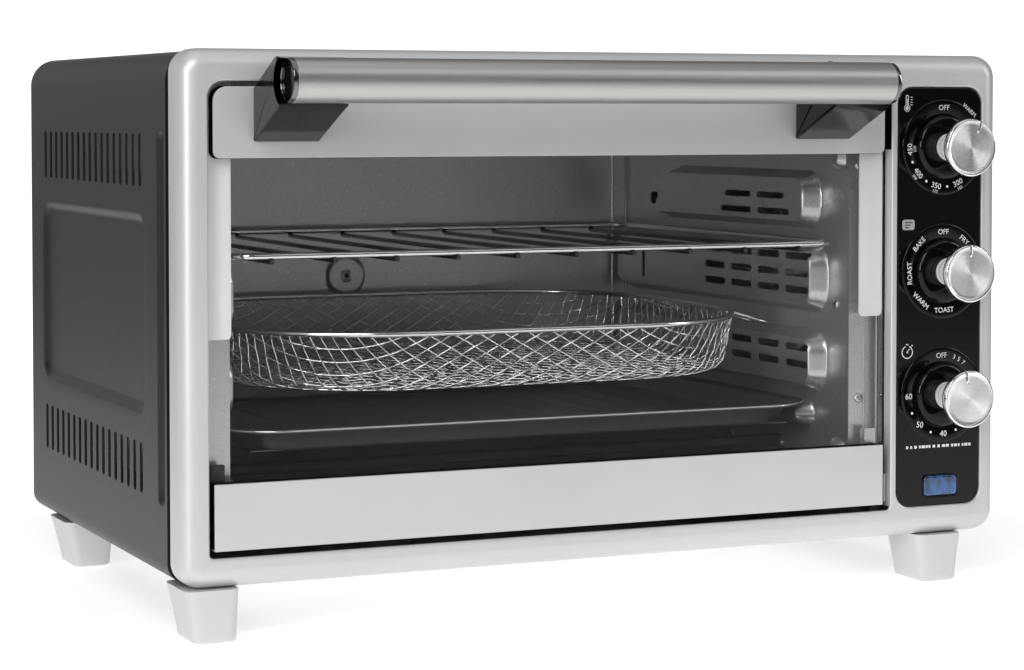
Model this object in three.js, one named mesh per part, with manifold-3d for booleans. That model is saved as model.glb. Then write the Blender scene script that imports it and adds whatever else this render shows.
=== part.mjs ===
// Countertop toaster oven with drop-down glass door, three dials, wire rack,
// frying basket, baking pan, crumb tray and a side convection fan.
// Millimetres, +Z up, -Y is the front, +X is the control side.
import * as THREE from 'three';
import { mergeVertices } from 'three/addons/utils/BufferGeometryUtils.js';
import Module from 'manifold-3d';

const wasm = await Module();
wasm.setup();

// ---------------------------------------------------------------- dimensions
const BODY_HALF_W = 234;        // half the width over the fascia
const BODY_TOP = 288.5;         // top of the fascia above the table
const FOOT_H = 26.2;            // height of the feet
const BODY_BOTTOM = 26.5;       // underside of the fascia
const BODY_DEPTH = 298;         // fascia front to the back of the wrap
const FASCIA_RETURN = 18;       // depth of the fascia's folded side
const SHEET = 1.2;              // sheet steel thickness
const GAP = 0.3;                // clearance between neighbouring pieces
const ORIGIN_Y = 122;           // fascia plane to the middle of the overall depth

const DOOR = { x0: -217, x1: 160, z0: 45, z1: 270 };
const DOOR_OPEN = { x0: -218.8, x1: 165, z0: 41.6, z1: 271.7, r: [2.5, 2.5, 8, 8] };
const PANEL_OPEN = { x0: 168.9, x1: 222.7, z0: 42.4, z1: 271.1, r: 9 };
const HINGE = { y: 10.7, z: 53.5, r: 2 };
const BAR = { r: 10.8, y: -43.2, z: 272.5, x0: -194.6, x1: 136.9 };
const KNOB_X = 198;
const KNOBS = [
  { name: 'temperature', z: 238.5, rest: 25 },
  { name: 'function', z: 170.8, rest: 0 },
  { name: 'timer', z: 103.2, rest: -9 },
];
const KNOB_R = 15.5;
const LENS = { x0: 186.5, x1: 207.5, z0: 48, z1: 58.8 };

const CAV = { x0: -204.3, x1: 147.3, y0: 16.3, y1: 285, z0: 62, z1: 262 };
const RIB_X = 137;              // inner face of the side wall ribs, control side
const RIBS = [                  // side wall ribs from top to bottom
  { z0: 193, z1: 225, y0: 44, y1: 228 },
  { z0: 147, z1: 184.4, y0: 36, y1: 282 },
  { z0: 102.7, z1: 136.5, y0: 37, y1: 282 },
  { z0: 82.6, z1: 97, y0: 50, y1: 282 },
];
const RACK_Z = 186.5;
const BASKET = { x0: -186, x1: 119, y0: 28, y1: 272, z0: 114.6, z1: 147, r: 90, tilt: 0.0105 };
const PAN = { x0: -200.5, x1: 141, y0: 27, y1: 276, z0: 86.5, z1: 98.5 };
const TRAY = { x0: -199, x1: 142, y0: 20, y1: 280, z0: 62.3, z1: 66.8 };
const FAN = { y: 110, z: 165, r: 46 };
const HEATER_R = 3.3;
const LOUVRES = { count: 17, y0: 68.5, y1: 266.4, width: 4.4, rows: [[220.3, 245.5], [66.5, 90]] };

// ---------------------------------------------------------------- materials
const mat = (color, metalness, roughness, extra = {}) =>
  new THREE.MeshStandardMaterial({ color, metalness, roughness, ...extra });
const M = {
  silver: mat(0xc6c8ca, 0.55, 0.38),
  charcoal: mat(0x343333, 0.2, 0.42),
  galvanised: mat(0x8d8f90, 0.85, 0.45),
  steel: mat(0xb9b6b1, 0.95, 0.3),
  chrome: mat(0xd9dadb, 1, 0.12),
  wire: mat(0xb4b4b2, 1, 0.22),
  pan: mat(0x55565a, 0.85, 0.35),
  black: mat(0x0b0b0c, 0, 0.12),
  smoke: mat(0x2b2b2d, 0.1, 0.18),
  foot: mat(0xd8dadb, 0.05, 0.5),
  glass: mat(0xdfe9e6, 0, 0.03, { transparent: true, opacity: 0.3 }),
  lens: mat(0x1450b8, 0, 0.1, { transparent: true, opacity: 0.7 }),
  heater: mat(0x3a3836, 0.5, 0.5),
  dark: mat(0x1b1b1c, 0, 0.6),
  brass: mat(0xb08d3e, 1, 0.3),
};

// ---------------------------------------------------------------- geometry
const V = (x, y, z) => new THREE.Vector3(x, y, z);

function oriented(geo) {
  const p = geo.attributes.position;
  const index = geo.index.array;
  let volume = 0;
  for (let i = 0; i < index.length; i += 3) {
    const a = V().fromBufferAttribute(p, index[i]);
    const b = V().fromBufferAttribute(p, index[i + 1]);
    const c = V().fromBufferAttribute(p, index[i + 2]);
    volume += a.dot(b.cross(c));
  }
  if (volume < 0) {
    for (let i = 0; i < index.length; i += 3) [index[i], index[i + 1]] = [index[i + 1], index[i]];
  }
  return geo;
}

function clean(geo) {
  const g = geo.clone();
  g.deleteAttribute('normal');
  g.deleteAttribute('uv');
  return oriented(mergeVertices(g, 1e-4));
}

function toSolid(geo) {
  const g = clean(geo);
  return new wasm.Manifold(new wasm.Mesh({
    numProp: 3,
    vertProperties: new Float32Array(g.attributes.position.array),
    triVerts: new Uint32Array(g.index.array),
  }));
}

function fromSolid(solid) {
  const mesh = solid.getMesh();
  const g = new THREE.BufferGeometry();
  g.setAttribute('position', new THREE.BufferAttribute(new Float32Array(mesh.vertProperties), 3));
  g.setIndex(new THREE.BufferAttribute(new Uint32Array(mesh.triVerts), 1));
  return g;
}

const union = (...geos) => fromSolid(geos.map(toSolid).reduce((a, b) => a.add(b)));
const cut = (geo, ...tools) => {
  let solid = toSolid(geo);
  const all = tools.map(toSolid).reduce((a, b) => a.add(b));
  return fromSolid(solid.subtract(all));
};
const common = (a, b) => fromSolid(toSolid(a).intersect(toSolid(b)));

function box(x0, x1, y0, y1, z0, z1) {
  return new THREE.BoxGeometry(x1 - x0, y1 - y0, z1 - z0)
    .translate((x0 + x1) / 2, (y0 + y1) / 2, (z0 + z1) / 2);
}

// points of a rounded rectangle, counter-clockwise, radii for the four corners
function roundRect(u0, u1, v0, v1, r, steps = 4) {
  const radii = Array.isArray(r) ? r : [r, r, r, r];     // bottom left, bottom right, top right, top left
  const corners = [[u0, v0, Math.PI], [u1, v0, 1.5 * Math.PI], [u1, v1, 0], [u0, v1, 0.5 * Math.PI]];
  const out = [];
  corners.forEach(([u, v, start], i) => {
    const rad = radii[i];
    const cu = u + (u === u0 ? rad : -rad);
    const cv = v + (v === v0 ? rad : -rad);
    if (rad < 0.01) { out.push([u, v]); return; }
    for (let k = 0; k <= steps; k++) {
      const a = start + (k / steps) * (Math.PI / 2);
      out.push([cu + rad * Math.cos(a), cv + rad * Math.sin(a)]);
    }
  });
  return out;
}

const circle = (u, v, r, n) =>
  Array.from({ length: n }, (_, i) => [u + r * Math.cos((2 * Math.PI * i) / n), v + r * Math.sin((2 * Math.PI * i) / n)]);

const shapeOf = (points, holes = []) => {
  const s = new THREE.Shape(points.map(([a, b]) => new THREE.Vector2(a, b)));
  s.holes = holes.map((h) => new THREE.Path(h.map(([a, b]) => new THREE.Vector2(a, b))));
  return s;
};
const extrude = (points, depth, holes) =>
  new THREE.ExtrudeGeometry(shapeOf(points, holes), { depth, bevelEnabled: false, curveSegments: 1 });
const basis = (a, b, c) => new THREE.Matrix4().makeBasis(a, b, c);
const alongX = (points, x0, x1, holes) =>       // points are (y, z)
  extrude(points, x1 - x0, holes).applyMatrix4(basis(V(0, 1, 0), V(0, 0, 1), V(1, 0, 0))).translate(x0, 0, 0);
const alongY = (points, y0, y1, holes) =>       // points are (x, z)
  extrude(points, y1 - y0, holes).rotateX(Math.PI / 2).translate(0, y1, 0);
const alongZ = (points, z0, z1, holes) =>       // points are (x, y)
  extrude(points, z1 - z0, holes).translate(0, 0, z0);

// body skinned over rings of equal point count, closed with flat ends
function loft(rings) {
  const n = rings[0].length;
  const pos = rings.flat().flatMap((p) => [p[0], p[1], p[2]]);
  const index = [];
  for (let r = 0; r + 1 < rings.length; r++) {
    for (let i = 0; i < n; i++) {
      const a = r * n + i, b = r * n + ((i + 1) % n), c = a + n, d = b + n;
      index.push(a, b, d, a, d, c);
    }
  }
  const last = (rings.length - 1) * n;
  for (let i = 1; i + 1 < n; i++) {
    index.push(0, i + 1, i);
    index.push(last, last + i, last + i + 1);
  }
  const g = new THREE.BufferGeometry();
  g.setAttribute('position', new THREE.Float32BufferAttribute(pos, 3));
  g.setIndex(index);
  return g;
}
const ringXY = (x0, x1, y0, y1, z, r, steps) => roundRect(x0, x1, y0, y1, r, steps).map(([a, b]) => [a, b, z]);
const ringXZ = (x0, x1, z0, z1, y, r, steps) => roundRect(x0, x1, z0, z1, r, steps).map(([a, b]) => [a, y, b]);
const ringYZ = (y0, y1, z0, z1, x, r, steps) => roundRect(y0, y1, z0, z1, r, steps).map(([a, b]) => [x, a, b]);

// solid of revolution about an axis parallel to X, Y or Z; profile is [radius, along]
function turned(profile, axis, centre, n = 20) {
  const g = new THREE.LatheGeometry(profile.map(([r, t]) => new THREE.Vector2(Math.max(r, 0), t)), n);
  if (axis === 'x') g.rotateZ(-Math.PI / 2);
  if (axis === 'z') g.rotateX(Math.PI / 2);
  return g.translate(...centre);
}
const rod = (axis, a0, a1, centre, r, n = 16) => turned([[0, a0], [r, a0], [r, a1], [0, a1]], axis, centre, n);

// wire of round section along a polyline, mitred at the bends
function wire(points, r, n = 6, closed = false) {
  const P = points.map((p) => V(...p));
  const m = P.length;
  const dir = (i) => P[(i + 1) % m].clone().sub(P[i]).normalize();
  const segs = closed ? m : m - 1;
  const t0 = dir(0);
  const side = Math.abs(t0.z) < 0.9 ? V(0, 0, 1) : V(1, 0, 0);
  const u = side.clone().cross(t0).normalize();
  const w = t0.clone().cross(u);
  let ring = Array.from({ length: n }, (_, k) => {
    const a = (2 * Math.PI * (k + 0.5)) / n;
    return u.clone().multiplyScalar(r * Math.cos(a)).add(w.clone().multiplyScalar(r * Math.sin(a))).add(P[0]);
  });
  const onto = (pts, d, at, normal) => pts.map((q) => {
    const s = at.clone().sub(q).dot(normal) / d.dot(normal);
    return q.clone().add(d.clone().multiplyScalar(s));
  });
  if (closed) ring = onto(ring, t0, P[0], dir(m - 1).add(t0).normalize());
  const rings = [ring];
  for (let i = 0; i < segs; i++) {
    const d = dir(i);
    const end = (i + 1) % m;
    if (closed && i === segs - 1) break;
    const normal = (i === segs - 1) ? d : d.clone().add(dir(end)).normalize();
    ring = onto(ring, d, P[end], normal);
    rings.push(ring);
  }
  const arr = rings.map((rr) => rr.map((q) => [q.x, q.y, q.z]));
  if (!closed) return loft(arr);
  const pos = arr.flat().flat();
  const index = [];
  for (let s = 0; s < m; s++) {
    const e = (s + 1) % m;
    for (let k = 0; k < n; k++) {
      const k2 = (k + 1) % n;
      index.push(s * n + k, s * n + k2, e * n + k2, s * n + k, e * n + k2, e * n + k);
    }
  }
  const g = new THREE.BufferGeometry();
  g.setAttribute('position', new THREE.Float32BufferAttribute(pos, 3));
  g.setIndex(index);
  return g;
}

const root = new THREE.Group();
root.name = 'toaster_oven';
function add(name, geo, material) {
  const g = clean(geo);
  g.translate(0, -ORIGIN_Y, 0);
  g.computeVertexNormals();
  const mesh = new THREE.Mesh(g, material);
  mesh.name = name;
  root.add(mesh);
}

// ---------------------------------------------------------------- fascia
{
  const W = BODY_HALF_W, R = 12, B = 9;     // corner radius and front edge radius
  const at = (inset, y) => ringXZ(-W + inset, W - inset, BODY_BOTTOM + inset, BODY_TOP - inset, y, Math.max(R - inset, 1.5), 3);
  const t = 1.5;
  const arc = [90, 60, 30, 0].map((d) => (d * Math.PI) / 180);
  const outer = arc.map((a) => at(B * (1 - Math.cos(a)), B * (1 - Math.sin(a))));
  const inner = arc.map((a) => at(t + (B - t) * (1 - Math.cos(a)), t + (B - t) * (1 - Math.sin(a)))).reverse();
  const shell = loft([...outer, at(0, FASCIA_RETURN), at(t, FASCIA_RETURN), ...inner]);
  const D = DOOR_OPEN, C = PANEL_OPEN;
  const stop = (x0, x1, wall0, wall1) => union(
    alongY(roundRect(x0, x1, 147, 276, 3, 2), 7, 8.1),
    box(wall0, wall1, 1.2, 7.6, 149, 274));
  add('front_fascia', union(
    cut(shell,
      alongY(roundRect(D.x0, D.x1, D.z0, D.z1, D.r, 4), -1, 3),
      alongY(roundRect(C.x0, C.x1, C.z0, C.z1, C.r, 4), -1, 3)),
    stop(-221, -205.9, -221, -219.6), stop(149, 167, 165.6, 167)), M.silver);
}

// ---------------------------------------------------------------- outer wrap
{
  const x = BODY_HALF_W - 0.8, t = 1, top = BODY_TOP - 0.8, bottom = BODY_BOTTOM + 0.4;
  const y0 = FASCIA_RETURN + GAP, y1 = BODY_DEPTH;
  const arc = (cx, cz, r, a0, a1, n) => Array.from({ length: n + 1 }, (_, i) => {
    const a = ((a0 + ((a1 - a0) * i) / n) * Math.PI) / 180;
    return [cx + r * Math.cos(a), cz + r * Math.sin(a)];
  });
  const half = (o) => [
    [x - 50, bottom + o], ...arc(x - 9, bottom + 9, 9 - o, -90, 0, 3), ...arc(x - 15, top - 15, 15 - o, 0, 90, 4)];
  const mirror = (pts) => pts.map(([a, b]) => [-a, b]).reverse();
  const outline = [...half(0), ...mirror(half(0))];
  const inside = [...half(t), ...mirror(half(t))].reverse();
  let wrap = alongY([...outline, ...inside], y0, y1);
  // pressed panel and groove on each side
  const press = (ya, yb, za, zb, slope, depth, s, grow) => {
    const xo = s * (x - (grow ? t - 0.4 : -1)), xi = s * (x - depth - (grow ? t : 0));
    const g = grow ? t : 0, k = grow ? 0 : slope / depth;
    const out = ringYZ(ya - g - k, yb + g + k, za - g - k, zb + g + k, xo, 10 + g, 3);
    const inn = ringYZ(ya + slope - g, yb - slope + g, za + slope - g, zb - slope + g, xi, 6, 3);
    return loft([out, inn]);
  };
  const pressings = [[62.8, 271.4, 105.5, 207, 8, 2.6, 'panel'], [28.7, 41.2, 63.3, 248.7, 3, 2, 'groove']];
  for (const s of [-1, 1]) {
    for (const [ya, yb, za, zb, slope, depth, kind] of pressings) {
      const small = kind === 'groove';
      const mk = (grow) => {
        if (!small) return press(ya, yb, za, zb, slope, depth, s, grow);
        const g = grow ? t : 0, k = grow ? 0 : 1.5;
        const xo = s * (x - (grow ? t - 0.4 : -1)), xi = s * (x - depth - g);
        return loft([
          ringYZ(ya - g - k, yb + g + k, za - g - k, zb + g + k, xo, 5, 2),
          ringYZ(ya + slope - g, yb - slope + g, za + slope - g, zb - slope + g, xi, 2.5, 2)]);
      };
      wrap = cut(union(wrap, mk(true)), mk(false));
    }
  }
  const slots = [];
  const { count, y0: la, y1: lb, width, rows } = LOUVRES;
  for (const [za, zb] of rows) {
    for (let i = 0; i < count; i++) {
      const ya = la + ((lb - la - width) * i) / (count - 1);
      slots.push(box(-x - 3, -x + 3, ya, ya + width, za, zb), box(x - 3, x + 3, ya, ya + width, za, zb));
    }
  }
  add('outer_wrap', cut(wrap, ...slots), M.charcoal);
}

// ---------------------------------------------------------------- rear panel and base
{
  const slots = [];
  for (let i = 0; i < 11; i++) {
    slots.push(roundRect(-178 + i * 22, -164 + i * 22, 236, 240, 1.6, 1), roundRect(-178 + i * 22, -164 + i * 22, 224, 228, 1.6, 1));
  }
  add('rear_panel', alongY(roundRect(-231.9, 231.9, 29.8, 286.2, 14, 3), 295.6, 296.8,
    [...slots, circle(170, 62, 7.3, 12)]), M.charcoal);
  const vents = [];
  for (let i = 0; i < 9; i++) vents.push(roundRect(-150 + i * 34, -128 + i * 34, 60, 65, 2, 1), roundRect(-150 + i * 34, -128 + i * 34, 235, 240, 2, 1));
  add('base_plate', alongZ(roundRect(-223.5, 223.5, 18.6, 295.3, 4, 2), 28.3, 29.5, vents), M.galvanised);
  add('cord_gland', turned([[0, 288], [10.5, 288], [10.5, 295.3], [7, 295.3], [7, 297.1], [10, 297.1], [9, 298], [0, 298]], 'y', [170, 0, 62], 14), M.dark);
}

// ---------------------------------------------------------------- feet
{
  // tapered feet: bottom outline, top outline, height
  const foot = (bx0, bx1, by0, by1, tx0, tx1, ty0, ty1, top) => loft([
    ringXY(bx0 + 1.5, bx1 - 1.5, by0 + 1.5, by1 - 1.5, 0, 5, 3),
    ringXY(bx0, bx1, by0, by1, 1.6, 6, 3),
    ringXY(tx0, tx1, ty0, ty1, top, 6, 3)]);
  add('foot_front_left', foot(-227.5, -204.5, 1, 33, -231.5, -203.5, 0.5, 38, FOOT_H), M.foot);
  add('foot_rear_left', foot(-225.5, -203.5, 236, 268, -231.5, -202.5, 231, 270, FOOT_H + 0.4), M.foot);
  add('foot_front_right', foot(187, 210, 1.8, 34, 184, 212.5, 0.8, 38, FOOT_H), M.foot);
  add('foot_rear_right', foot(187, 209, 236, 268, 184, 212, 231, 270, FOOT_H + 0.4), M.foot);
}

// ---------------------------------------------------------------- control panel
{
  const C = PANEL_OPEN;
  let plate = union(
    alongY(roundRect(C.x0 - 1.4, C.x1 + 2.5, C.z0 - 2.5, C.z1 + 2.5, 9, 3), 1.8, 3.4),
    alongY(roundRect(C.x0 + GAP, C.x1 - GAP, C.z0 + GAP, C.z1 - GAP, C.r - GAP, 4), 0.7, 2.4),
    ...KNOBS.map((k) => turned([[0, 1.5], [17.6, 1.5], [17.3, -2.4], [16.2, -3.4], [0, -3.4]], 'y', [KNOB_X, 0, k.z], 22)));
  plate = cut(plate,
    ...KNOBS.map((k) => rod('y', -6, 6, [KNOB_X, 0, k.z], 3.6, 12)),
    alongY(roundRect(LENS.x0 - GAP, LENS.x1 + GAP, LENS.z0 - GAP, LENS.z1 + GAP, 2.3, 3), -1, 6));
  add('control_panel_plate', plate, M.black);
  add('indicator_lens', union(
    alongY(roundRect(LENS.x0, LENS.x1, LENS.z0, LENS.z1, 2, 3), 0.3, 4.4),
    alongY(roundRect(LENS.x0 - 1.5, LENS.x1 + 1.5, LENS.z0 - 1.5, LENS.z1 + 1.5, 2, 3), 3.7, 5)), M.lens);
  add('indicator_lamp', turned([[0, 5.4], [2.2, 5.8], [3, 7], [3, 17], [1.6, 18.5], [0, 18.5]], 'y', [197, 0, 53.4], 12), M.glass);
  add('control_bracket', alongY(roundRect(168, 231.9, 37, 274, 3, 1), 20, 21.2,
    KNOBS.map((k) => circle(KNOB_X, k.z, 4.6, 12)).concat([circle(197, 53.4, 5, 10)])), M.galvanised);
}

// ---------------------------------------------------------------- knobs, shafts and switch bodies
for (const k of KNOBS) {
  const c = [KNOB_X, 0, k.z];
  const cap = turned([[0, -22.3], [14, -22.3], [15, -22.6], [KNOB_R, -23.3], [KNOB_R, -26], [14.8, -26.8], [0, -26.6]], 'y', c, 22);
  const notch = box(KNOB_X - 0.9, KNOB_X + 0.9, -29, -25.5, k.z + 8, k.z + 17);
  notch.translate(-KNOB_X, 0, -k.z).rotateY((k.rest * Math.PI) / 180).translate(KNOB_X, 0, k.z);
  add(`${k.name}_knob_cap`, cut(cap, notch), M.steel);
  add(`${k.name}_knob_ring`, turned([[8.1, -22], [12.6, -22], [13.1, -21.5], [12.6, -20.9], [8.1, -20.9], [8.1, -22]], 'y', c, 18), M.black);
  add(`${k.name}_knob_stem`, turned([[0, -22], [7.7, -22], [7, -15], [6.8, -8], [7.2, -3.8], [3, -3.7], [3, 30], [0, 30]], 'y', c, 14), M.steel);
}
{
  const bore = (z) => rod('y', 20, 31, [KNOB_X, 0, z], 3.4, 12);
  const [t, f, m] = KNOBS.map((k) => k.z);
  add('thermostat_body', cut(union(box(181, 215, 21.5, 40, t - 15, t + 15), rod('y', 39, 46, [KNOB_X, 0, t], 9, 14)), bore(t)), M.dark);
  add('function_switch_body', cut(box(180, 216, 21.5, 52, f - 18, f + 18), bore(f)), M.dark);
  add('timer_body', cut(box(179, 217, 21.5, 55, m - 19, m + 19), bore(m)), M.galvanised);
  add('timer_bell', turned([[0, 55.3], [5, 55.3], [5, 58], [15, 60], [17, 66], [16.2, 66.4], [14.2, 61], [0, 59.4]], 'y', [KNOB_X, 0, m], 18), M.brass);
}

// ---------------------------------------------------------------- door
{
  const { x0, x1, z0, z1 } = DOOR;
  add('door_glass', alongY(roundRect(x0, x1, z0 + 1.5, z1 - 1.5, [1, 1, 6, 6], 2), 1.2, 5.2), M.glass);
  const topProfile = [[-0.3, 235.3], [0.9, 235.3], [0.9, z1 - 1.2], [5.5, z1 - 1.2], [5.5, 240], [6.7, 240], [6.7, z1], [-0.3, z1]];
  add('door_top_rail', common(alongX(topProfile, x0, x1), alongY(roundRect(x0, x1, 235.3, z1, [3.5, 3.5, 7, 7], 6), -2, 8)), M.silver);
  const lowProfile = [[-0.3, z0], [6.7, z0], [6.7, 72], [5.5, 72], [5.5, z0 + 1.2], [0.9, z0 + 1.2], [0.9, 77.6], [-0.3, 77.6]];
  add('door_bottom_rail', alongX(lowProfile, x0, x1), M.silver);
  const tube = (xa, xb, ro, ri) => turned([[ri, xa], [ro, xa], [ro, xb], [ri, xb], [ri, xa]], 'x', [0, BAR.y, BAR.z], 24);
  add('handle_bar', tube(BAR.x0 + 2.5, BAR.x1 - 2.5, BAR.r, BAR.r - 1.4), M.steel);
  const cap = (s) => {
    const end = s < 0 ? BAR.x0 : BAR.x1, q = (d) => end - s * d;
    return turned([[0, q(2)], [7.6, q(2)], [8.6, q(0)], [BAR.r - 0.8, q(0)], [BAR.r, q(0.8)], [BAR.r, q(2.2)], [BAR.r - 1.8, q(2.2)], [BAR.r - 1.8, q(12)], [0, q(12)]], 'x', [0, BAR.y, BAR.z], 24);
  };
  add('handle_end_cap_left', cap(-1), M.chrome);
  add('handle_end_cap_right', cap(1), M.chrome);
  const arm = (xa, xb) => cut(
    alongX([[-0.6, 243], [-0.6, 269.6], [-33, 282], [-46, 282], [-46, 262], [-36, 261]], xa, xb),
    rod('x', xa - 5, xb + 5, [0, BAR.y, BAR.z], BAR.r + GAP, 24),
    box(xa - 5, xb + 5, -60, -42, 255, 290));
  add('handle_bracket_left', arm(-197, -163), M.smoke);
  add('handle_bracket_right', arm(104.4, 138), M.smoke);
}

// ---------------------------------------------------------------- hinges
{
  const side = (s, plate, pin, spring, head, turns, gauge) => {
    const tag = s < 0 ? 'left' : 'right';
    const leaf = union(
      alongX([[7, HINGE.z - 3], [11.4, HINGE.z - 3], [11.4, 84], [10, 86], [7, 86]], plate[0], plate[1]),
      rod('x', plate[0], plate[1], [0, HINGE.y, HINGE.z], 3.6, 16));
    add(`door_hinge_leaf_${tag}`, cut(leaf, rod('x', plate[0] - 3, plate[1] + 3, [0, HINGE.y, HINGE.z], HINGE.r + 0.35, 12)), M.dark);
    add(`hinge_pin_${tag}`, union(
      rod('x', pin[0], pin[1], [0, HINGE.y, HINGE.z], HINGE.r, 12),
      rod('x', head[0], head[1], [0, HINGE.y, HINGE.z], 3.6, 12)), M.wire);
    const per = 8, coil = [];
    for (let i = 0; i <= turns * per; i++) {
      const a = (2 * Math.PI * i) / per;
      coil.push([spring[0] + ((spring[1] - spring[0]) * i) / (turns * per), HINGE.y + 3.3 * Math.cos(a), HINGE.z + 3.3 * Math.sin(a)]);
    }
    add(`hinge_spring_${tag}`, wire(coil, gauge, 4), M.wire);
  };
  side(-1, [-216.6, -209.6], [-227, -210], [-224, -218], [-228.4, -226.8], 3, 0.6);
  side(1, [152.6, 159.6], [153, 166.2], [160.4, 162.5], [164.9, 166.4], 2, 0.35);
}

// ---------------------------------------------------------------- cavity
{
  const front = alongY(roundRect(-232.2, 167, 28.3, 286.7, [13, 1, 1, 13], 3), 15, 16,
    [roundRect(CAV.x0, CAV.x1, CAV.z0, CAV.z1, 4, 2), roundRect(-219, 162, 38, 52, 2, 1)]);   // mouth, and room for the door's lower edge
  const tab = (xa, xb) => cut(box(xa, xb, 4.5, 15.5, HINGE.z - 7.5, HINGE.z + 7.5), rod('x', xa - 3, xb + 3, [0, HINGE.y, HINGE.z], HINGE.r + 0.35, 12));
  add('cavity_front_frame', union(front, tab(-226, -224.8), tab(163.4, 164.6)), M.galvanised);

  const t = 1, ya = CAV.y0, yb = CAV.y1 - GAP;
  const heaterHoles = (xa, xb) => [[90, 252], [210, 252], [90, 71.5], [210, 71.5]]
    .map(([y, z]) => rod('x', xa, xb, [0, y, z], HEATER_R + 0.5, 10));
  // one side wall, drawn for the control side and mirrored about the cavity centre
  const wall = (vented) => {
    const x = CAV.x1;
    let g = box(x, x + t, ya, yb, CAV.z0 + GAP, CAV.z1 - GAP);
    const rib = (r, grow) => {
      const k = grow ? 0 : t;
      const top = ringYZ(r.y0 + 4 + k, r.y1 - 5 - k, r.z0 + 3.5 + k, r.z1 - 3.5 - k, RIB_X + k, Math.min(6, (r.z1 - r.z0) / 2 - 4.6), 2);
      const foot = ringYZ(r.y0 + k, r.y1 - k, r.z0 + k, r.z1 - k, x + (grow ? 0.5 : t + 1), Math.min(8, (r.z1 - r.z0) / 2 - 1.2), 2);
      return loft([foot, top]);
    };
    g = union(g, ...RIBS.map((r) => rib(r, true)));
    g = cut(g, ...RIBS.map((r) => rib(r, false)));
    if (vented) {
      const tools = [];
      const slot = (y0, y1, z0, z1) => tools.push(alongX(roundRect(y0, y1, z0, z1, 0), RIB_X - 3, RIB_X + 4));
      slot(68, 98.4, 209, 212.5); slot(106.5, 136.3, 209, 212.5);
      slot(62.4, 98.3, 200, 203.5); slot(105.6, 141.4, 200, 203.5);
      for (const z of [175.7, 166.2, 157]) for (let i = 0; i < 4; i++) slot(41 + i * 31.6, 66.4 + i * 31.6, z, z + 4);
      for (const z of [125.2, 115.9]) for (let i = 0; i < 3; i++) slot(41.2 + i * 31.3, 66 + i * 31.3, z, z + 4);
      tools.push(alongX(roundRect(239.4, 243.4, 155, 172, 1.9, 1), RIB_X - 3, RIB_X + 4));
      g = cut(g, ...tools);
    }
    return cut(g, ...heaterHoles(x - 2, x + 3));
  };
  add('cavity_right_wall', wall(true), M.galvanised);
  const left = wall(false).scale(-1, 1, 1).translate(CAV.x0 + CAV.x1, 0, 0);
  add('cavity_left_wall', left, M.galvanised);
  add('cavity_ceiling', box(CAV.x0 - 1, CAV.x1 + 1, ya, yb, CAV.z1, CAV.z1 + t), M.galvanised);
  add('cavity_floor', box(CAV.x0 - 1, CAV.x1 + 1, ya, yb, CAV.z0 - t, CAV.z0), M.galvanised);
  add('cavity_back_wall', union(
    alongY(roundRect(CAV.x0 - 1, CAV.x1 + 1, CAV.z0 - t, CAV.z1 + t, 0, 1), CAV.y1, CAV.y1 + t),
    turned([[0, CAV.y1 + 0.5], [13, CAV.y1 + 0.5], [11.4, CAV.y1 - 2], [0, CAV.y1 - 2]], 'y', [-42.2, 0, 158], 20)), M.galvanised);
}

// ---------------------------------------------------------------- heaters
{
  const bar = (y, z) => wire([[CAV.x0 - 9, y, z], [CAV.x1 + 9, y, z]], HEATER_R, 10);
  add('upper_heater_front', bar(90, 252), M.heater);
  add('upper_heater_rear', bar(210, 252), M.heater);
  add('lower_heater_front', bar(90, 71.5), M.heater);
  add('lower_heater_rear', bar(210, 71.5), M.heater);
}

// ---------------------------------------------------------------- rack, basket, pan and tray
{
  const z = RACK_Z;
  const loop = roundRect(-200, 141.5, 20, 277, 10, 3).map(([a, b]) => [a, b, z]);
  const rods = [];
  for (let i = 0; i < 10; i++) {
    const x = -181.2 + i * 33.3;
    rods.push(wire([[x, 17.9, z - 0.6], [x, 19.2, z - 2.4], [x, 279, z - 2.4]], 1.3, 6));
  }
  add('wire_rack', union(wire(loop, 1.7, 8, true), ...rods), M.wire);

  const B = BASKET;
  const ring = (d, zz) => ringXY(B.x0 + d, B.x1 - d, B.y0 + d, B.y1 - d, zz, B.r - d, 6);
  const shell = loft([ring(12, B.z0), ring(8, B.z0 + 2.5), ring(2.2, B.z1 - 4), ring(0, B.z1 - 3.4), ring(0, B.z1), ring(3.6, B.z1), ring(9.4, B.z0 + 3.4), ring(12.6, B.z0 + 1.4)]);
  const ear = (s, y) => {
    const xe = s > 0 ? B.x1 - 7 : B.x0 + 7, xo = s > 0 ? 141.4 : -198.4;
    return wire([[xe, y, 144.8], [xo - s * 6, y, 139.5], [xo, y + 4, 138.4], [xo, y + 18, 138.4], [xo - s * 6, y + 22, 139.5], [xe, y + 22, 144.8]], 1.3, 6);
  };
  const pan = shell.translate(0, -150, -130).rotateX(B.tilt).translate(0, 150, 130);
  add('fry_basket', union(pan, ear(1, 88), ear(1, 188), ear(-1, 88), ear(-1, 188)), M.wire);

  const P = PAN;
  const pr = (d, zz, r) => ringXY(P.x0 + d, P.x1 - d, P.y0 + d, P.y1 - d, zz, r, 4);
  add('baking_pan', loft([pr(13, P.z0, 22), pr(8, P.z1 - 1.2, 28), pr(0.4, P.z1 - 1.2, 34), pr(0, P.z1, 34), pr(8.6, P.z1, 27.5), pr(13.8, P.z0 + 1, 21.5)]), M.pan);

  const T = TRAY;
  const tr = (d, zz, r) => ringXY(T.x0 + d, T.x1 - d, T.y0 + d, T.y1 - d, zz, r, 2);
  add('crumb_tray', loft([tr(2.5, T.z0, 3), tr(0.5, T.z1, 4), tr(1.5, T.z1, 3), tr(3.5, T.z0 + 1, 2)]), M.galvanised);
}

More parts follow.
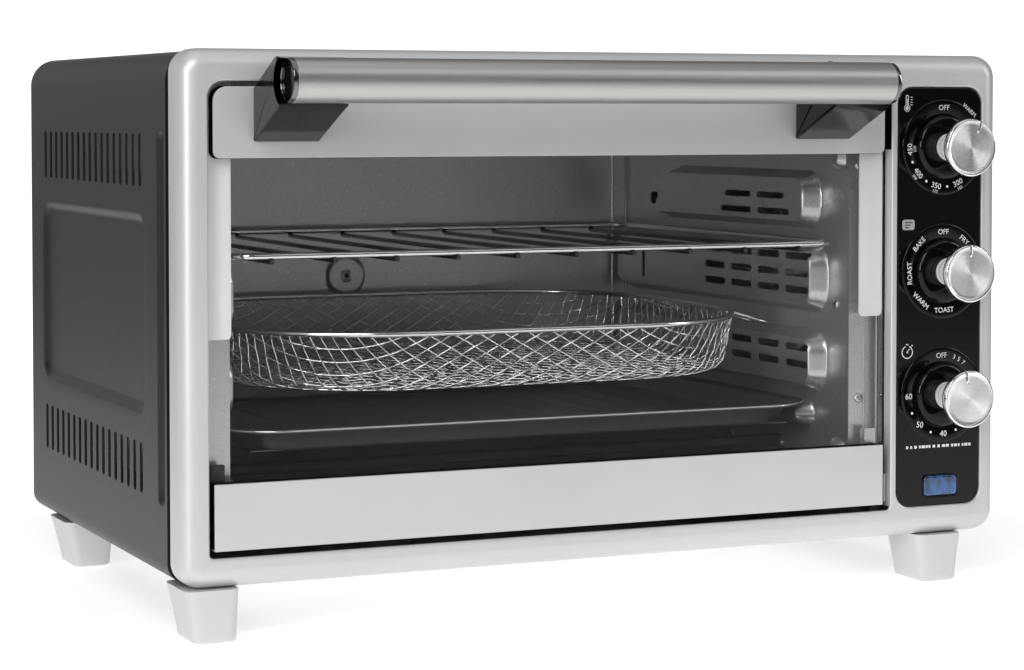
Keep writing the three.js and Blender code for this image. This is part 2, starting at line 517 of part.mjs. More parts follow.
// ---------------------------------------------------------------- convection fan and side baffle
{
  const c = [0, FAN.y, FAN.z];
  const blades = [];
  for (let i = 0; i < 10; i++) {
    const blade = box(152, 164.5, -0.7, 0.7, 20, FAN.r - 1).rotateX(0.35).rotateX((i * Math.PI) / 5);
    blades.push(blade.translate(...c));
  }
  add('fan_impeller', union(
    turned([[0, 152], [9, 152], [9, 163], [FAN.r, 163.5], [FAN.r, 165], [9, 165], [6, 168], [0, 168]], 'x', c, 24),
    rod('x', 167, 190, c, 3, 12), ...blades), M.galvanised);
  add('side_baffle', alongX(roundRect(40, 283, 29.8, 270, 4, 1), 170.5, 171.5, [circle(FAN.y, FAN.z, 5, 12)]), M.galvanised);
  add('fan_motor', turned([[3.4, 171.8], [22, 171.8], [28, 176], [28, 200], [22, 204], [0, 204], [0, 192], [3.4, 192], [3.4, 171.8]], 'x', c, 20), M.dark);
}

export default root;
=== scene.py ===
import math
import random
import bpy
import bmesh
from mathutils import Matrix, Vector
from mathutils.geometry import tessellate_polygon


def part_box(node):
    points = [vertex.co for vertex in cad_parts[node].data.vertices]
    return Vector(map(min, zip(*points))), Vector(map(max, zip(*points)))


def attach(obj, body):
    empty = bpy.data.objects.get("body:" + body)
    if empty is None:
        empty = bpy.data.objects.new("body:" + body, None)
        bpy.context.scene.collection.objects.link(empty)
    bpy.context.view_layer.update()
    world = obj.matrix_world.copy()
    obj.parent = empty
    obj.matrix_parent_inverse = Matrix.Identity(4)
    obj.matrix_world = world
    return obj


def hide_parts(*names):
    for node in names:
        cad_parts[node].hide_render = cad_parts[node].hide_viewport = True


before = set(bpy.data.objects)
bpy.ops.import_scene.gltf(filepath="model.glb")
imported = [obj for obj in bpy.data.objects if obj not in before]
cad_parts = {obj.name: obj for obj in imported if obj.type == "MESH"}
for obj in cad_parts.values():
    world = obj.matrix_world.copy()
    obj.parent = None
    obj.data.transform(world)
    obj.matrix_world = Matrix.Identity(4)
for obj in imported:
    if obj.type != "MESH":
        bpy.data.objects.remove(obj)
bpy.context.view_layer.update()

# All lengths below are millimetres, with y counted from the front of the fascia.
MM = 0.001
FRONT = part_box("front_fascia")[0].y / MM


def box_mm(node):
    """The two corners of a CAD node's box."""
    return [Vector((p.x / MM, p.y / MM - FRONT, p.z / MM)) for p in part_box(node)]


# ------------------------------------------------------------------ materials
GRAIN = (0.3, 0.7)                 # span that the noise of a surface mostly covers


class Nodes:
    """A node tree; node() adds a node and hands back the output that is asked for."""

    def __init__(self, tree):
        self.tree = tree

    def put(self, socket, value):
        """Links an output to the socket, or sets its plain value."""
        if isinstance(value, bpy.types.NodeSocket):
            self.tree.links.new(value, socket)
        else:
            socket.default_value = value

    def node(self, kind, *sources, out=0, **values):
        """Sources go to the first inputs in turn; p_ names are properties, other names are inputs."""
        n = self.tree.nodes.new("ShaderNode" + kind)
        for key in [key for key in values if key.startswith("p_")]:
            setattr(n, key[2:], values.pop(key))
        for socket, value in zip(n.inputs, sources):
            self.put(socket, value)
        for key, value in values.items():
            self.put(n.inputs[key.replace("_", " ")], value)
        return n.outputs[out]

    def calc(self, operation, *terms):
        return self.node("Math", *terms, p_operation=operation)

    def measure(self, operation, *vectors):
        """A number from vectors, such as a length or a dot product."""
        return self.node("VectorMath", *vectors, p_operation=operation, out="Value")

    def remap(self, value, lo, hi, a=0.0, b=1.0, **props):
        """Turns the span a to b into lo to hi."""
        return self.node("MapRange", value, a, b, lo, hi, **props)

    def mix(self, share, dark, light):
        """A colour between dark and light."""
        result = self.node("Mix", share, p_data_type="RGBA", out=2)
        for i, color in ((6, dark), (7, light)):
            result.node.inputs[i].default_value = (*color, 1)
        return result


class Mat(Nodes):
    """A Principled material and a slot name that it keeps."""

    def __init__(self, name, color, metallic, roughness, slot="", **sockets):
        self.m = bpy.data.materials.new(name)
        self.m.use_nodes = True
        super().__init__(self.m.node_tree)
        self.slot = slot
        self.bsdf = self.tree.nodes["Principled BSDF"]
        self.set(Base_Color=(*color, 1), Metallic=metallic, Roughness=roughness, **sockets)

    def set(self, **sockets):
        for key, value in sockets.items():
            self.put(self.bsdf.inputs[key.replace("_", " ")], value)

    def noise(self, scale, stretch=(1, 1, 1), detail=4.0, rough=0.55):
        at = self.node("Mapping", self.node("TexCoord", out="Object"), Scale=stretch)
        return self.node("TexNoise", at, Scale=scale, Detail=detail, Roughness=rough)

    def tone(self, fac, color, dark):
        """The colour wanders between a darker and a slightly lighter shade of itself."""
        lo, hi = (tuple(min(1, c * share) for c in color) for share in (dark, 1.03))
        self.set(Base_Color=self.mix(self.remap(fac, 0, 1, *GRAIN), lo, hi))

    def bump(self, fac, strength, distance=0.0002):
        self.set(Normal=self.node("Bump", Strength=strength, Distance=distance, Height=fac))


def surface(name, color, metallic, rough, slot="", flake=1800, bump=0.05, spread=0.04, specular=0.5):
    """Paint, metal or plastic with a fine grain; a single number as colour is a grey."""
    color = color if isinstance(color, tuple) else (color, color, color)
    m = Mat(name, color, metallic, rough, slot, Specular_IOR_Level=specular)
    fine = m.noise(flake, detail=2)
    m.set(Roughness=m.remap(fine, rough - spread, rough + spread, *GRAIN))
    m.bump(fine, bump)
    m.tone(m.noise(9, detail=3), color, 0.96)
    return m


silver = surface("satin_silver_paint", (0.60, 0.605, 0.615), 0.35, 0.38, "satin_silver", bump=0.06)
charcoal = surface("charcoal_enamel", (0.018, 0.0176, 0.0176), 0.0, 0.42, "charcoal_enamel", 900, 0.06,
                   specular=0.4)
galvanised = surface("galvanised_sheet", (0.59, 0.59, 0.60), 0.78, 0.30, "galvanised_sheet", 900, 0.006, 0.03)
wire_metal = surface("bright_wire", (0.80, 0.80, 0.79), 1.0, 0.16, "wire_steel", 2500, 0.03)
# a darker copy of the wire steel for the rack's rods, painting the dark reflection of the cavity that they
# show
rod_shaded_wire = surface("rod_wire_painted_shade", 0.14, 1.0, 0.24, "wire_steel", 2500, 0.03)
black_gloss = surface("gloss_black_panel", (0.0025, 0.0025, 0.003), 0.0, 0.07, "gloss_black", 300, 0.002,
                      0.015, 0.28)
smoke = surface("smoke_grey_gloss", (0.006, 0.006, 0.007), 0.0, 0.14, "smoke_grey", 500, 0.008, 0.03, 0.32)
dark_chrome = surface("dark_chrome", (0.22, 0.22, 0.225), 1.0, 0.12, "chrome_trim", 700, 0.01, 0.02)
stop_white = surface("stop_strip_white", (0.82, 0.825, 0.83), 0.0, 0.38, "satin_silver", 1500, 0.01)
foot_white = surface("pearl_foot_plastic", 0.60, 0.1, 0.36, "foot_plastic", 2200, 0.06)
pan_steel = surface("non_stick_pan", (0.17, 0.17, 0.174), 0.85, 0.30, "pan_steel", 1200, 0.006, 0.03)
heater_skin = surface("heater_sheath", (0.012, 0.011, 0.010), 0.0, 0.5, "heater_sheath", 900, 0.1, 0.08)
# near-black matt sheet that paints the shade in the door gap, the fascia joint and round the rails
gap_shade_black = surface("matt_seam_rubber", 0.002, 0.0, 0.8, "dark_plastic", 1500, specular=0.04)
dark_plastic = surface("matt_dark_plastic", (0.014, 0.014, 0.015), 0.0, 0.55, "dark_plastic", 1500, 0.1)
brass = surface("bell_brass", (0.68, 0.50, 0.22), 1.0, 0.25)
hinge_black = surface("black_hinge_steel", (0.015, 0.015, 0.016), 0.4, 0.4, "galvanised_sheet", 800, 0.1)
screw_steel = surface("zinc_screw", (0.55, 0.55, 0.54), 1.0, 0.30, "galvanised_sheet", 1500, 0.1)
# near-black: paints the shade inside the rivet's bore, and is also the ink of the dark print marks
shade_and_print_black = surface("painted_hole_shade_and_print", 0.004, 0.0, 0.7, "gloss_black", 500)
print_white = surface("printed_white", 0.78, 0.0, 0.5, "gloss_black", 1500, 0.03)
print_grey = surface("printed_grey", 0.36, 0.0, 0.5, "gloss_black", 1500, 0.03)
stem_steel = surface("satin_stem_steel", 0.72, 0.3, 0.36, "spun_steel", 900, 0.01, 0.03)
turned_steel = surface("polished_side_steel", 0.78, 1.0, 0.12, "spun_steel", 900, 0.001, 0.01)


def brushed_steel():
    """Handle bar metal with fine lines along x."""
    color, rough = (0.53, 0.515, 0.50), 0.40
    m = Mat("brushed_bar_steel", color, 1.0, rough, "brushed_stainless")
    lines = m.noise(900, (0.012, 1, 1), detail=6, rough=0.7)
    m.set(Roughness=m.remap(lines, rough - 0.06, rough + 0.07, *GRAIN))
    m.bump(lines, 0.02, 0.0001)
    m.tone(lines, color, 0.95)
    return m


def spun_metal():
    """Cap face with fine turned circles, so highlights fan out as cones."""
    m = Mat("spun_cap_face", (0.97, 0.97, 0.97), 1.0, 0.34, Anisotropic=0.92)
    x = m.node("SeparateXYZ", m.node("TexCoord", out="Object"))
    radius = m.measure("LENGTH", m.node("CombineXYZ", x, x.node.outputs["Z"]))
    grooves = m.node("TexNoise", p_noise_dimensions="1D", W=radius, Scale=2600.0, Detail=2.0)
    m.set(Roughness=m.remap(grooves, 0.26, 0.36, *GRAIN),
          Tangent=m.node("Tangent", p_direction_type="RADIAL", p_axis="Y"))
    return m


def clear_glass(name, tint, share=1.0):
    """Thin pane: what is behind shows straight through, with a share of mirror reflection."""
    m = Mat(name, tint, 0.0, 0.02)
    mirror = m.calc("MULTIPLY", m.node("Fresnel", IOR=1.45), share)
    smear = m.remap(m.noise(14, detail=2), 0.9, 1.0, *GRAIN)
    see = m.node("BsdfTransparent", Color=(*tint, 1))
    gloss = m.node("BsdfGlossy", Roughness=0.015, Color=(1, 1, 1, 1))
    both = m.node("MixShader", m.calc("MULTIPLY", mirror, smear), see, gloss)
    m.put(m.tree.nodes["Material Output"].inputs["Surface"], both)
    m.tree.nodes.remove(m.bsdf)
    return m


def lens_material():
    """Moulded blue lens with upright prisms inside and a faint light of its own."""
    m = Mat("blue_lens", (0.004, 0.05, 0.25), 0.0, 0.08, "blue_lens",
            Coat_Weight=1.0, Coat_Roughness=0.03, Emission_Strength=0.10)
    prism = m.node("TexWave", m.node("TexCoord", out="Object"), p_wave_type="BANDS", p_bands_direction="X",
                   Scale=330.0, Distortion=0.6, Detail=1.0, out="Fac")
    cloud = m.remap(m.noise(190, (1, 1, 0.8), detail=1), 0.0, 1.0, 0.36, 0.66)
    share = m.calc("MULTIPLY", m.remap(prism, 0.45, 1.0), cloud)
    color = m.mix(share, (0.001, 0.012, 0.05), (0.008, 0.12, 0.38))
    m.set(Base_Color=color, Emission_Color=color)
    m.bump(prism, 0.15, 0.0003)
    return m


bar_steel = brushed_steel()
cap_face = spun_metal()
pane = clear_glass("door_pane_glass", (0.98, 0.982, 0.984), 0.22)
lamp_glass = clear_glass("lamp_glass", (0.9, 0.9, 0.88))
blue_lens = lens_material()


# ------------------------------------------------------------------ mesh helpers
def make(name, mesh_data, mat, body, sharp=35.0, replaces=(), slot=None, fix=True, flat=False):
    """A piece from (vertices, faces) in millimetres; edges steeper than sharp degrees stay crisp.
    It works out a slot, its material's unless another is given, but does not put it on the piece; a flat
    piece gets even shading on its faces."""
    verts, faces = mesh_data
    mesh = bpy.data.meshes.new(name)
    mesh.from_pydata([(v[0] * MM, (v[1] + FRONT) * MM, v[2] * MM) for v in verts], [], faces)
    bm = bmesh.new()
    bm.from_mesh(mesh)
    bmesh.ops.remove_doubles(bm, verts=bm.verts, dist=1e-6)
    if fix:
        bmesh.ops.recalc_face_normals(bm, faces=bm.faces)
    for e in bm.edges:
        e.smooth = not (len(e.link_faces) == 2 and e.calc_face_angle(0) > math.radians(sharp))
    for f in bm.faces:
        f.smooth = True
    bm.to_mesh(mesh)
    bm.free()
    ob = bpy.data.objects.new(name, mesh)
    bpy.context.scene.collection.objects.link(ob)
    mats = mat if isinstance(mat, list) else [mat]
    for m in mats:
        mesh.materials.append(m.m)
    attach(ob, body)
    if replaces:
        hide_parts(*replaces)
    slot = mats[0].slot if slot is None else slot
    if flat:
        ob.modifiers.new("flat_faces", "WEIGHTED_NORMAL").keep_sharp = True
    return ob


def recentre(ob, at):
    """Moves the object's own origin to a point in millimetres, keeping the shape in place."""
    p = Vector((at[0] * MM, (at[1] + FRONT) * MM, at[2] * MM))
    ob.data.transform(Matrix.Translation(-p))
    ob.location = p


def cut(ob, mesh_data, mat, body):
    """Takes a shape out of a piece."""
    tool = make(ob.name + "_tool", mesh_data, mat, body, slot="")
    mod = ob.modifiers.new("cut", "BOOLEAN")
    mod.object, mod.operation, mod.solver = tool, "DIFFERENCE", "EXACT"
    return tool


def settle(ob, tool):
    """Applies the modifiers and removes the tool."""
    bpy.context.view_layer.update()
    dg = bpy.context.evaluated_depsgraph_get()
    mesh = bpy.data.meshes.new_from_object(ob.evaluated_get(dg))
    ob.modifiers.clear()
    ob.data = mesh
    bpy.data.objects.remove(tool)


def round_rect(u0, u1, v0, v1, r, steps=8):
    radii = r if isinstance(r, (list, tuple)) else (r, r, r, r)
    out = []
    for (u, v, start), rad in zip(((u0, v0, 180), (u1, v0, 270), (u1, v1, 0), (u0, v1, 90)), radii):
        cu, cv = u + (rad if u == u0 else -rad), v + (rad if v == v0 else -rad)
        for k in range(steps + 1):
            a = math.radians(start + 90 * k / steps)
            out.append((cu + rad * math.cos(a), cv + rad * math.sin(a)))
    return out


def ring_y(y, box, inset, r, steps=8):
    """A rounded rectangle as a ring of points at y; box is (x0, x1, z0, z1)."""
    x0, x1, z0, z1 = box
    return [(x, y, z) for x, z in round_rect(x0 + inset, x1 - inset, z0 + inset, z1 - inset, r, steps)]


def ring_z(z, box, inset, r, steps=8):
    """The same at a height z; box is (x0, x1, y0, y1)."""
    return [(x, y, z) for x, _, y in ring_y(0, box, inset, r, steps)]


def front_box(node):
    lo, hi = box_mm(node)
    return lo.x, hi.x, lo.z, hi.z


def plan_box(node):
    lo, hi = box_mm(node)
    return lo.x, hi.x, lo.y, hi.y


def circle(cx, cz, r, seg):
    turn = [2 * math.pi * k / seg for k in range(seg)]
    return [(cx + r * math.cos(a), cz + r * math.sin(a)) for a in turn]


def bridge(n, a, b):
    """Quads between two rings of n vertices that start at indices a and b."""
    return [(a + i, a + (i + 1) % n, b + (i + 1) % n, b + i) for i in range(n)]


def skin(rings, caps=(True, True), closed=False):
    """Faces over a row of rings, which has end caps or runs back into its first ring."""
    n, m = len(rings[0]), len(rings)
    faces = []
    for r in range(m if closed else m - 1):
        faces += bridge(n, r * n, (r + 1) % m * n)
    if caps[0] and not closed:
        faces.append(tuple(range(n)))
    if caps[1] and not closed:
        faces.append(tuple(range((m - 1) * n, m * n)))
    return [p for ring in rings for p in ring], faces


def lathe(name, profile, axis, centre, mat, body, seg=72, **kw):
    """Turned piece; profile is (radius, distance along the axis)."""
    rings = []
    for r, t in profile:
        ring = []
        for c, s in circle(0, 0, r, seg):
            p = {"x": (t, c, s), "y": (c, t, s)}[axis]
            ring.append((p[0] + centre[0], p[1] + centre[1], p[2] + centre[2]))
        rings.append(ring)
    closed = profile[0] == profile[-1]
    caps = [not closed and r > 0.01 for r in (profile[0][0], profile[-1][0])]
    return make(name, skin(rings, caps), mat, body, **kw)


def tube_mesh(paths, radius, sides=8):
    """Round wires along polylines; a path that ends where it starts is closed."""
    verts, faces = [], []
    for path in paths:
        pts = [Vector(p) for p in path]
        closed = (pts[0] - pts[-1]).length < 1e-6
        if closed:
            pts = pts[:-1]
        m, base = len(pts), len(verts)
        tangents = []
        for i in range(m):
            a = pts[(i - 1) % m] if closed or i > 0 else pts[i]
            b = pts[(i + 1) % m] if closed or i < m - 1 else pts[i]
            tangents.append((b - a).normalized())
        ref = Vector((0, 0, 1)) if abs(tangents[0].z) < 0.9 else Vector((1, 0, 0))
        u = ref.cross(tangents[0]).normalized()
        for p, t in zip(pts, tangents):
            u = (u - t * u.dot(t)).normalized()
            w = t.cross(u)
            for k in range(sides):
                a = 2 * math.pi * k / sides
                verts.append(p + u * (radius * math.cos(a)) + w * (radius * math.sin(a)))
        for i in range(m if closed else m - 1):
            faces += bridge(sides, base + i * sides, base + ((i + 1) % m) * sides)
        if not closed:
            faces += [tuple(start + k for k in range(sides)) for start in (base, base + (m - 1) * sides)]
    return verts, faces


def bend(a, b, c, d, steps):
    """Points round the corner at b, starting and ending d away from it."""
    s, e = b + (a - b).normalized() * d, b + (c - b).normalized() * d
    shares = [k / steps for k in range(steps + 1)]
    return [s * (1 - t) ** 2 + b * 2 * t * (1 - t) + e * t ** 2 for t in shares]


def smooth_path(points, radius, steps):
    """Rounds the corners of an open polyline."""
    P = [Vector(p) for p in points]
    out = [P[0]]
    for a, b, c in zip(P, P[1:], P[2:]):
        out += bend(a, b, c, min(radius, (a - b).length * 0.49, (c - b).length * 0.49), steps)
    return out + [P[-1]]


def offset_loop(loop, d):
    """The loop moved sideways by d along its own normals."""
    out = []
    for i, p in enumerate(loop):
        p0, p1, p2 = Vector(loop[i - 1]), Vector(p), Vector(loop[(i + 1) % len(loop)])
        e = (p1 - p0).normalized() + (p2 - p1).normalized()
        e = e.normalized() if e.length > 1e-9 else (p2 - p0).normalized()
        out.append(p1 + Vector((-e.y, e.x)) * d)
    return out


def fill(verts, loops):
    """Triangles over a flat XZ region; loops are (start, count), the first is the outline."""
    polys, index = [], []
    for s, n in loops:
        polys.append([Vector((verts[s + i][0], verts[s + i][2], 0)) for i in range(n)])
        index += [s + i for i in range(n)]
    return [tuple(index[i] for i in tri) for tri in tessellate_polygon(polys)]


def quarter(steps):
    return [math.pi / 2 * k / steps for k in range(steps + 1)]


def rounding(radius, angles):
    """Inset and depth along a rounded edge, from the front face round to the side."""
    return [(radius * (1 - math.sin(a)), radius * (1 - math.cos(a))) for a in angles]


def add_wall(verts, faces, loop, levels, sign):
    """One ring of the loop at each (inset, y) level; gives the first and the last as (start, count)."""
    n, start = len(loop), len(verts)
    for d, y in levels:
        verts += [(p.x, y, p.y) for p in offset_loop(loop, sign * d)]
    for s in range(len(levels) - 1):
        faces += bridge(n, start + s * n, start + (s + 1) * n)
    return (start, n), (start + (len(levels) - 1) * n, n)


def plate(outline, holes, y0, y1, edge=0.6, steps=3):
    """A flat panel in XZ with rounded front edges; outline and holes are (x, z) lists."""
    verts, faces = [], []
    levels = [(d, y0 + y) for d, y in rounding(edge, quarter(steps))] + [(0, y1)]
    ends = [add_wall(verts, faces, loop, levels, -1 if k else 1) for k, loop in enumerate([outline] + holes)]
    for loops in zip(*ends):
        faces += fill(verts, loops)
    return verts, faces


def smoothstep(t):
    t = max(0.0, min(1.0, t))
    return t * t * (3 - 2 * t)


def pressed_depth(u, v, press):
    """Depth at a point of a rounded-rectangle pressing with sloped sides; lean slants its far end."""
    u0, u1, v0, v1, r, slope, depth, *lean = press
    if lean and lean[0] and u > (u0 + u1) / 2:
        u += lean[0] * (v - (v0 + v1) / 2) * smoothstep((2 * u - u0 - u1) / (u1 - u0))
    cu, cv, hu, hv = (u0 + u1) / 2, (v0 + v1) / 2, (u1 - u0) / 2 - r, (v1 - v0) / 2 - r
    du, dv = abs(u - cu) - hu, abs(v - cv) - hv
    dist = math.hypot(max(du, 0), max(dv, 0)) + min(max(du, dv), 0) - r
    return depth * smoothstep(-dist / slope)


def axis_lines(lo, hi, step):
    """Evenly spaced grid lines."""
    n = max(1, round((hi - lo) / step))
    return [lo + (hi - lo) * i / n for i in range(n + 1)]


def fine_lines(lo, hi, coarse, zones):
    """Grid lines at a coarse pitch, and at a finer one inside each zone (start, end, pitch)."""
    out = {round(lo, 3), round(hi, 3)}
    for v in axis_lines(lo, hi, coarse):
        if not any(a - 0.5 * coarse < v < b + 0.5 * coarse for a, b, _ in zones):
            out.add(round(v, 3))
    for a, b, step in zones:
        out |= {round(v, 3) for v in axis_lines(a, b, step)}
    return sorted(out)


def pressed_sheet(name, us, vs, place, presses, slots, thick, mat, body, **kw):
    """A thin sheet on a (u, v) grid. place(u, v, d) gives the point at depth d; slots are cut through."""
    nu, nv = len(us), len(vs)
    depth = [[sum(pressed_depth(u, v, p) for p in presses) for v in vs] for u in us]
    verts = []
    for side in (0, thick):
        for u, row in zip(us, depth):
            verts += [place(u, v, d + side) for v, d in zip(vs, row)]
    faces = []
    off = nu * nv
    for i in range(nu - 1):
        for j in range(nv - 1):
            a, b, c, d = i * nv + j, (i + 1) * nv + j, (i + 1) * nv + j + 1, i * nv + j + 1
            faces += [(a, b, c, d), (off + a, off + d, off + c, off + b)]
    rim = [i * nv for i in range(nu)] + [(nu - 1) * nv + j for j in range(1, nv)]
    rim += [i * nv + nv - 1 for i in range(nu - 2, -1, -1)] + list(range(nv - 2, 0, -1))
    for a, b in zip(rim, rim[1:] + rim[:1]):
        faces.append((a, b, off + b, off + a))
    ob = make(name, (verts, faces), mat, body, **kw)
    if slots:
        cv, cf = [], []
        for u0, u1, v0, v1, r, deep in slots:
            r = min(r, (u1 - u0) / 2 - 1e-3, (v1 - v0) / 2 - 1e-3)
            loop = round_rect(u0, u1, v0, v1, r, 4)
            sv, sf = skin([[place(u, v, d) for u, v in loop] for d in (deep - 6, deep + 6)])
            cf += [tuple(x + len(cv) for x in f) for f in sf]
            cv += sv
        tool = cut(ob, (cv, cf), mat, body)
        ob.modifiers.new("crisp", "EDGE_SPLIT").split_angle = math.radians(40)
        settle(ob, tool)
    return ob


def repaint(nodes, mat, round_mm=0.0):
    """CAD nodes that keep their shape get a finished material, and eased edges where round_mm is given."""
    for node in nodes:
        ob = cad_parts[node]
        if not ob.data.materials:
            ob.data.materials.append(None)
        for s in ob.material_slots:
            s.link = "OBJECT"
            s.material = mat.m
        ob.modifiers.new("weld", "WELD").merge_threshold = 0.00001
        if round_mm:
            b = ob.modifiers.new("edge_round", "BEVEL")
            b.width, b.segments, b.limit_method, b.angle_limit = round_mm * MM, 2, "ANGLE", math.radians(32)
            b.harden_normals = False
            ob.modifiers.new("flat_faces", "WEIGHTED_NORMAL").keep_sharp = False


# ------------------------------------------------------------------ fascia
DOOR_OPEN = (-219.4, 165.0, 41.6, 272.5)      # x0, x1, z0, z1
DOOR_CORNERS = (2.5, 2.5, 8, 8)
PANEL_OPEN = (168.9, 222.7, 42.4, 271.1)
PANEL_CORNER = 9
SHEET = 1.4                                   # thickness of the fascia's pressed sheet
WRAP_LAG = 3.7 * (box_mm("outer_wrap")[0].x - box_mm("front_fascia")[0].x)
RAIL_LOW_Z = box_mm("door_top_rail")[0].z + 2


def build_fascia_shell():
    back = box_mm("front_fascia")[1].y
    corner, edge, lip = 12.0, 9.5, 1.35

    def ring(inset, y):
        return ring_y(y, front_box("front_fascia"), inset, max(corner - inset, 2.2), 10)

    rings = [ring(d, y) for d, y in rounding(edge, quarter(8))]
    rings += [ring(0, back - 0.4), ring(0.4, back), ring(SHEET, back)]
    rings += [ring(SHEET + d, SHEET + y) for d, y in reversed(rounding(edge - SHEET, quarter(8)))]
    verts, faces = skin(rings, (False, False))
    n = len(rings[0])
    ends = [((0, n), ((len(rings) - 1) * n, n))]
    levels = rounding(lip, (0, 0.4, 0.8, 1.2, math.pi / 2)) + [(0, SHEET)]
    for opening, corners in ((DOOR_OPEN, DOOR_CORNERS), (PANEL_OPEN, PANEL_CORNER)):
        ends.append(add_wall(verts, faces, round_rect(*opening, corners, 10), levels, -1))
    for loops in zip(*ends):
        faces += fill(verts, loops)
    make("front_fascia_shell", (verts, faces), silver, "oven", replaces=("front_fascia",), flat=True)
    for side, x0, x1 in (("left", -221, -205.9), ("right", 149.0, 163.3)):
        strip = plate(round_rect(x0, x1, 147, 276, 2.5, 6), [], 7, 8.1, 0.35, 2)
        make("door_stop_" + side, strip, stop_white, "oven", flat=True)


def folded_edge(name, inner, outer, mat):
    """A strip folded inwards from the fascia, between two lines of (x, z) points."""
    n = len(inner)
    lines = ((0.9, outer), (0.9, inner), (6.9, inner), (6.9, outer))
    verts = [(x, y, z) for y, points in lines for x, z in points]
    faces = []
    for k in range(4):
        a, b = k * n, (k + 1) % 4 * n
        faces += [(a + i, a + i + 1, b + i + 1, b + i) for i in range(n - 1)]
    faces += [(0, n, 2 * n, 3 * n), (n - 1, 4 * n - 1, 3 * n - 1, 2 * n - 1)]
    make(name, (verts, faces), mat, "oven", flat=True)


def build_fascia_returns():
    """The door opening is folded inwards at both sides; above the rail's foot the fold is a near-black sheet
    that paints the shade of the door gap.
    """
    x0, x1, _, z1 = DOOR_OPEN
    z0, r, low = 43.5, 8.0, RAIL_LOW_Z
    turn = [math.radians(a) for a in range(0, 91, 10)]
    path = [(x1, z0)] + [(x1 - r + r * math.cos(a), z1 - r + r * math.sin(a)) for a in turn]
    path += [(x0 + r - r * math.sin(a), z1 - r + r * math.cos(a)) for a in turn] + [(x0, z0)]
    outer = []
    for p, before, after in zip(path, path[:1] + path, path[1:] + path[-1:]):
        d = (Vector(after) - Vector(before)).normalized()
        outer.append((p[0] + d.y, p[1] - d.x))
    right, left = outer[0][0], outer[-1][0]
    folded_edge("fascia_gap_shade", [(x1, low)] + path[1:-1] + [(x0, low)],
                [(right, low)] + outer[1:-1] + [(left, low)], gap_shade_black)
    folded_edge("fascia_return_right", [(x1, z0), (x1, low)], [(right, z0), (right, low)], silver)
    folded_edge("fascia_return_left", [(x0, low), (x0, z0)], [(left, low), (left, z0)], silver)


def build_joint_shade():
    """A near-black sheet between the fascia and the wrap behind it paints the shade of the joint."""
    start = box_mm("outer_wrap")[0].y + 0.2
    end = start - 0.2 + WRAP_LAG + 5
    rings = []
    for y, d in ((start, 0), (end - 1.5, 0), (end, 0.9), (end, 2.6), (start, 2.6)):
        rings.append(ring_y(y, front_box("outer_wrap"), d, (9 - d, 9 - d, 15 - d, 15 - d), 12))
    make("fascia_joint_shade", skin(rings, closed=True), gap_shade_black, "oven", flat=True)


build_fascia_shell()
build_fascia_returns()
build_joint_shade()
for i, x in enumerate((156.8, 165.0)):
    # two folds run up the cavity's front frame beside the mouth
    fold = plate(round_rect(x - 0.45, x + 0.45, 63, 262, 0.3, 3), [], 14.2, 15.1, 0.3, 2)
    make(f"front_frame_fold_{i}", fold, galvanised, "oven", flat=True)


# ------------------------------------------------------------------ outer wrap
def build_wrap():
    """One sheet, laid out flat as (y, s): s runs from the left foot flange over the top to the right one."""
    lo, hi = box_mm("outer_wrap")
    rb, rt, back = 9.0, 15.0, 50.0          # lower and upper corner radius, width of the foot flange
    marks = [0]
    for length in (back - rb, rb * math.pi / 2, (hi.z - rt) - (lo.z + rb), rt * math.pi / 2):
        marks.append(marks[-1] + length)
    total = 2 * marks[4] + 2 * (hi.x - rt)
    shift = marks[2] - (lo.z + rb)          # a height z on the left side lies at s = z + shift

    def place(y, s, d):
        flip = s > total / 2
        if flip:
            s = total - s
        if s < marks[1]:
            x, z = -(hi.x - back) - s, lo.z + d
        elif s < marks[2]:
            a = (s - marks[1]) / rb
            x, z = -(hi.x - rb) - (rb - d) * math.sin(a), lo.z + rb - (rb - d) * math.cos(a)
        elif s < marks[3]:
            x, z = -hi.x + d, lo.z + rb + s - marks[2]
        elif s < marks[4]:
            a = (s - marks[3]) / rt
            x, z = -(hi.x - rt) - (rt - d) * math.cos(a), hi.z - rt + (rt - d) * math.sin(a)
        else:
            x, z = -(hi.x - rt) + s - marks[4], hi.z - d
        return -x if flip else x, y, z

    def both_sides(y0, y1, z0, z1, *rest):
        """The same feature on the left side and, mirrored, on the right side."""
        s0, s1 = z0 + shift, z1 + shift
        return [(y0, y1, s0, s1, *rest), (y0, y1, total - s1, total - s0, *rest)]

    panel, groove = (62.8, 271.4, 105.5, 207.0, 12, 5.0, 2.4), (28.7, 41.2, 63.3, 248.7, 5, 3.6, 2.0)
    presses = both_sides(*panel) + both_sides(*groove)
    slots = []
    count, first, last, width = 17, 68.0, 266.9, 5.4
    for z0, z1 in ((220.3, 246.8), (65.5, 91.0)):
        for i in range(count):
            y = first + (last - first - width) * i / (count - 1)
            slots += both_sides(y, y + width, z0, z1, 2.1, 0)
    ys = fine_lines(lo.y + 4.2 + WRAP_LAG, hi.y, 7, [(28, 42, 0.7), (62, 72, 1.2), (262, 272, 1.2)])
    heights = ((63, 67.2, 0.7), (105, 115, 1.2), (197.6, 207.6, 1.2), (244.8, 249, 0.7))
    zones = [(marks[1], marks[2], 1.2)] + [(a + shift, b + shift, step) for a, b, step in heights]
    left = fine_lines(0, marks[4], 7, zones + [(marks[3], marks[4], 1.6)])
    across = fine_lines(marks[4], total - marks[4], 30, [])
    ss = sorted(set(left + across + [round(total - s, 3) for s in left]))
    pressed_sheet("outer_wrap_shell", ys, ss, place, presses, slots, 1.0, charcoal, "oven",
                  replaces=("outer_wrap",))


build_wrap()


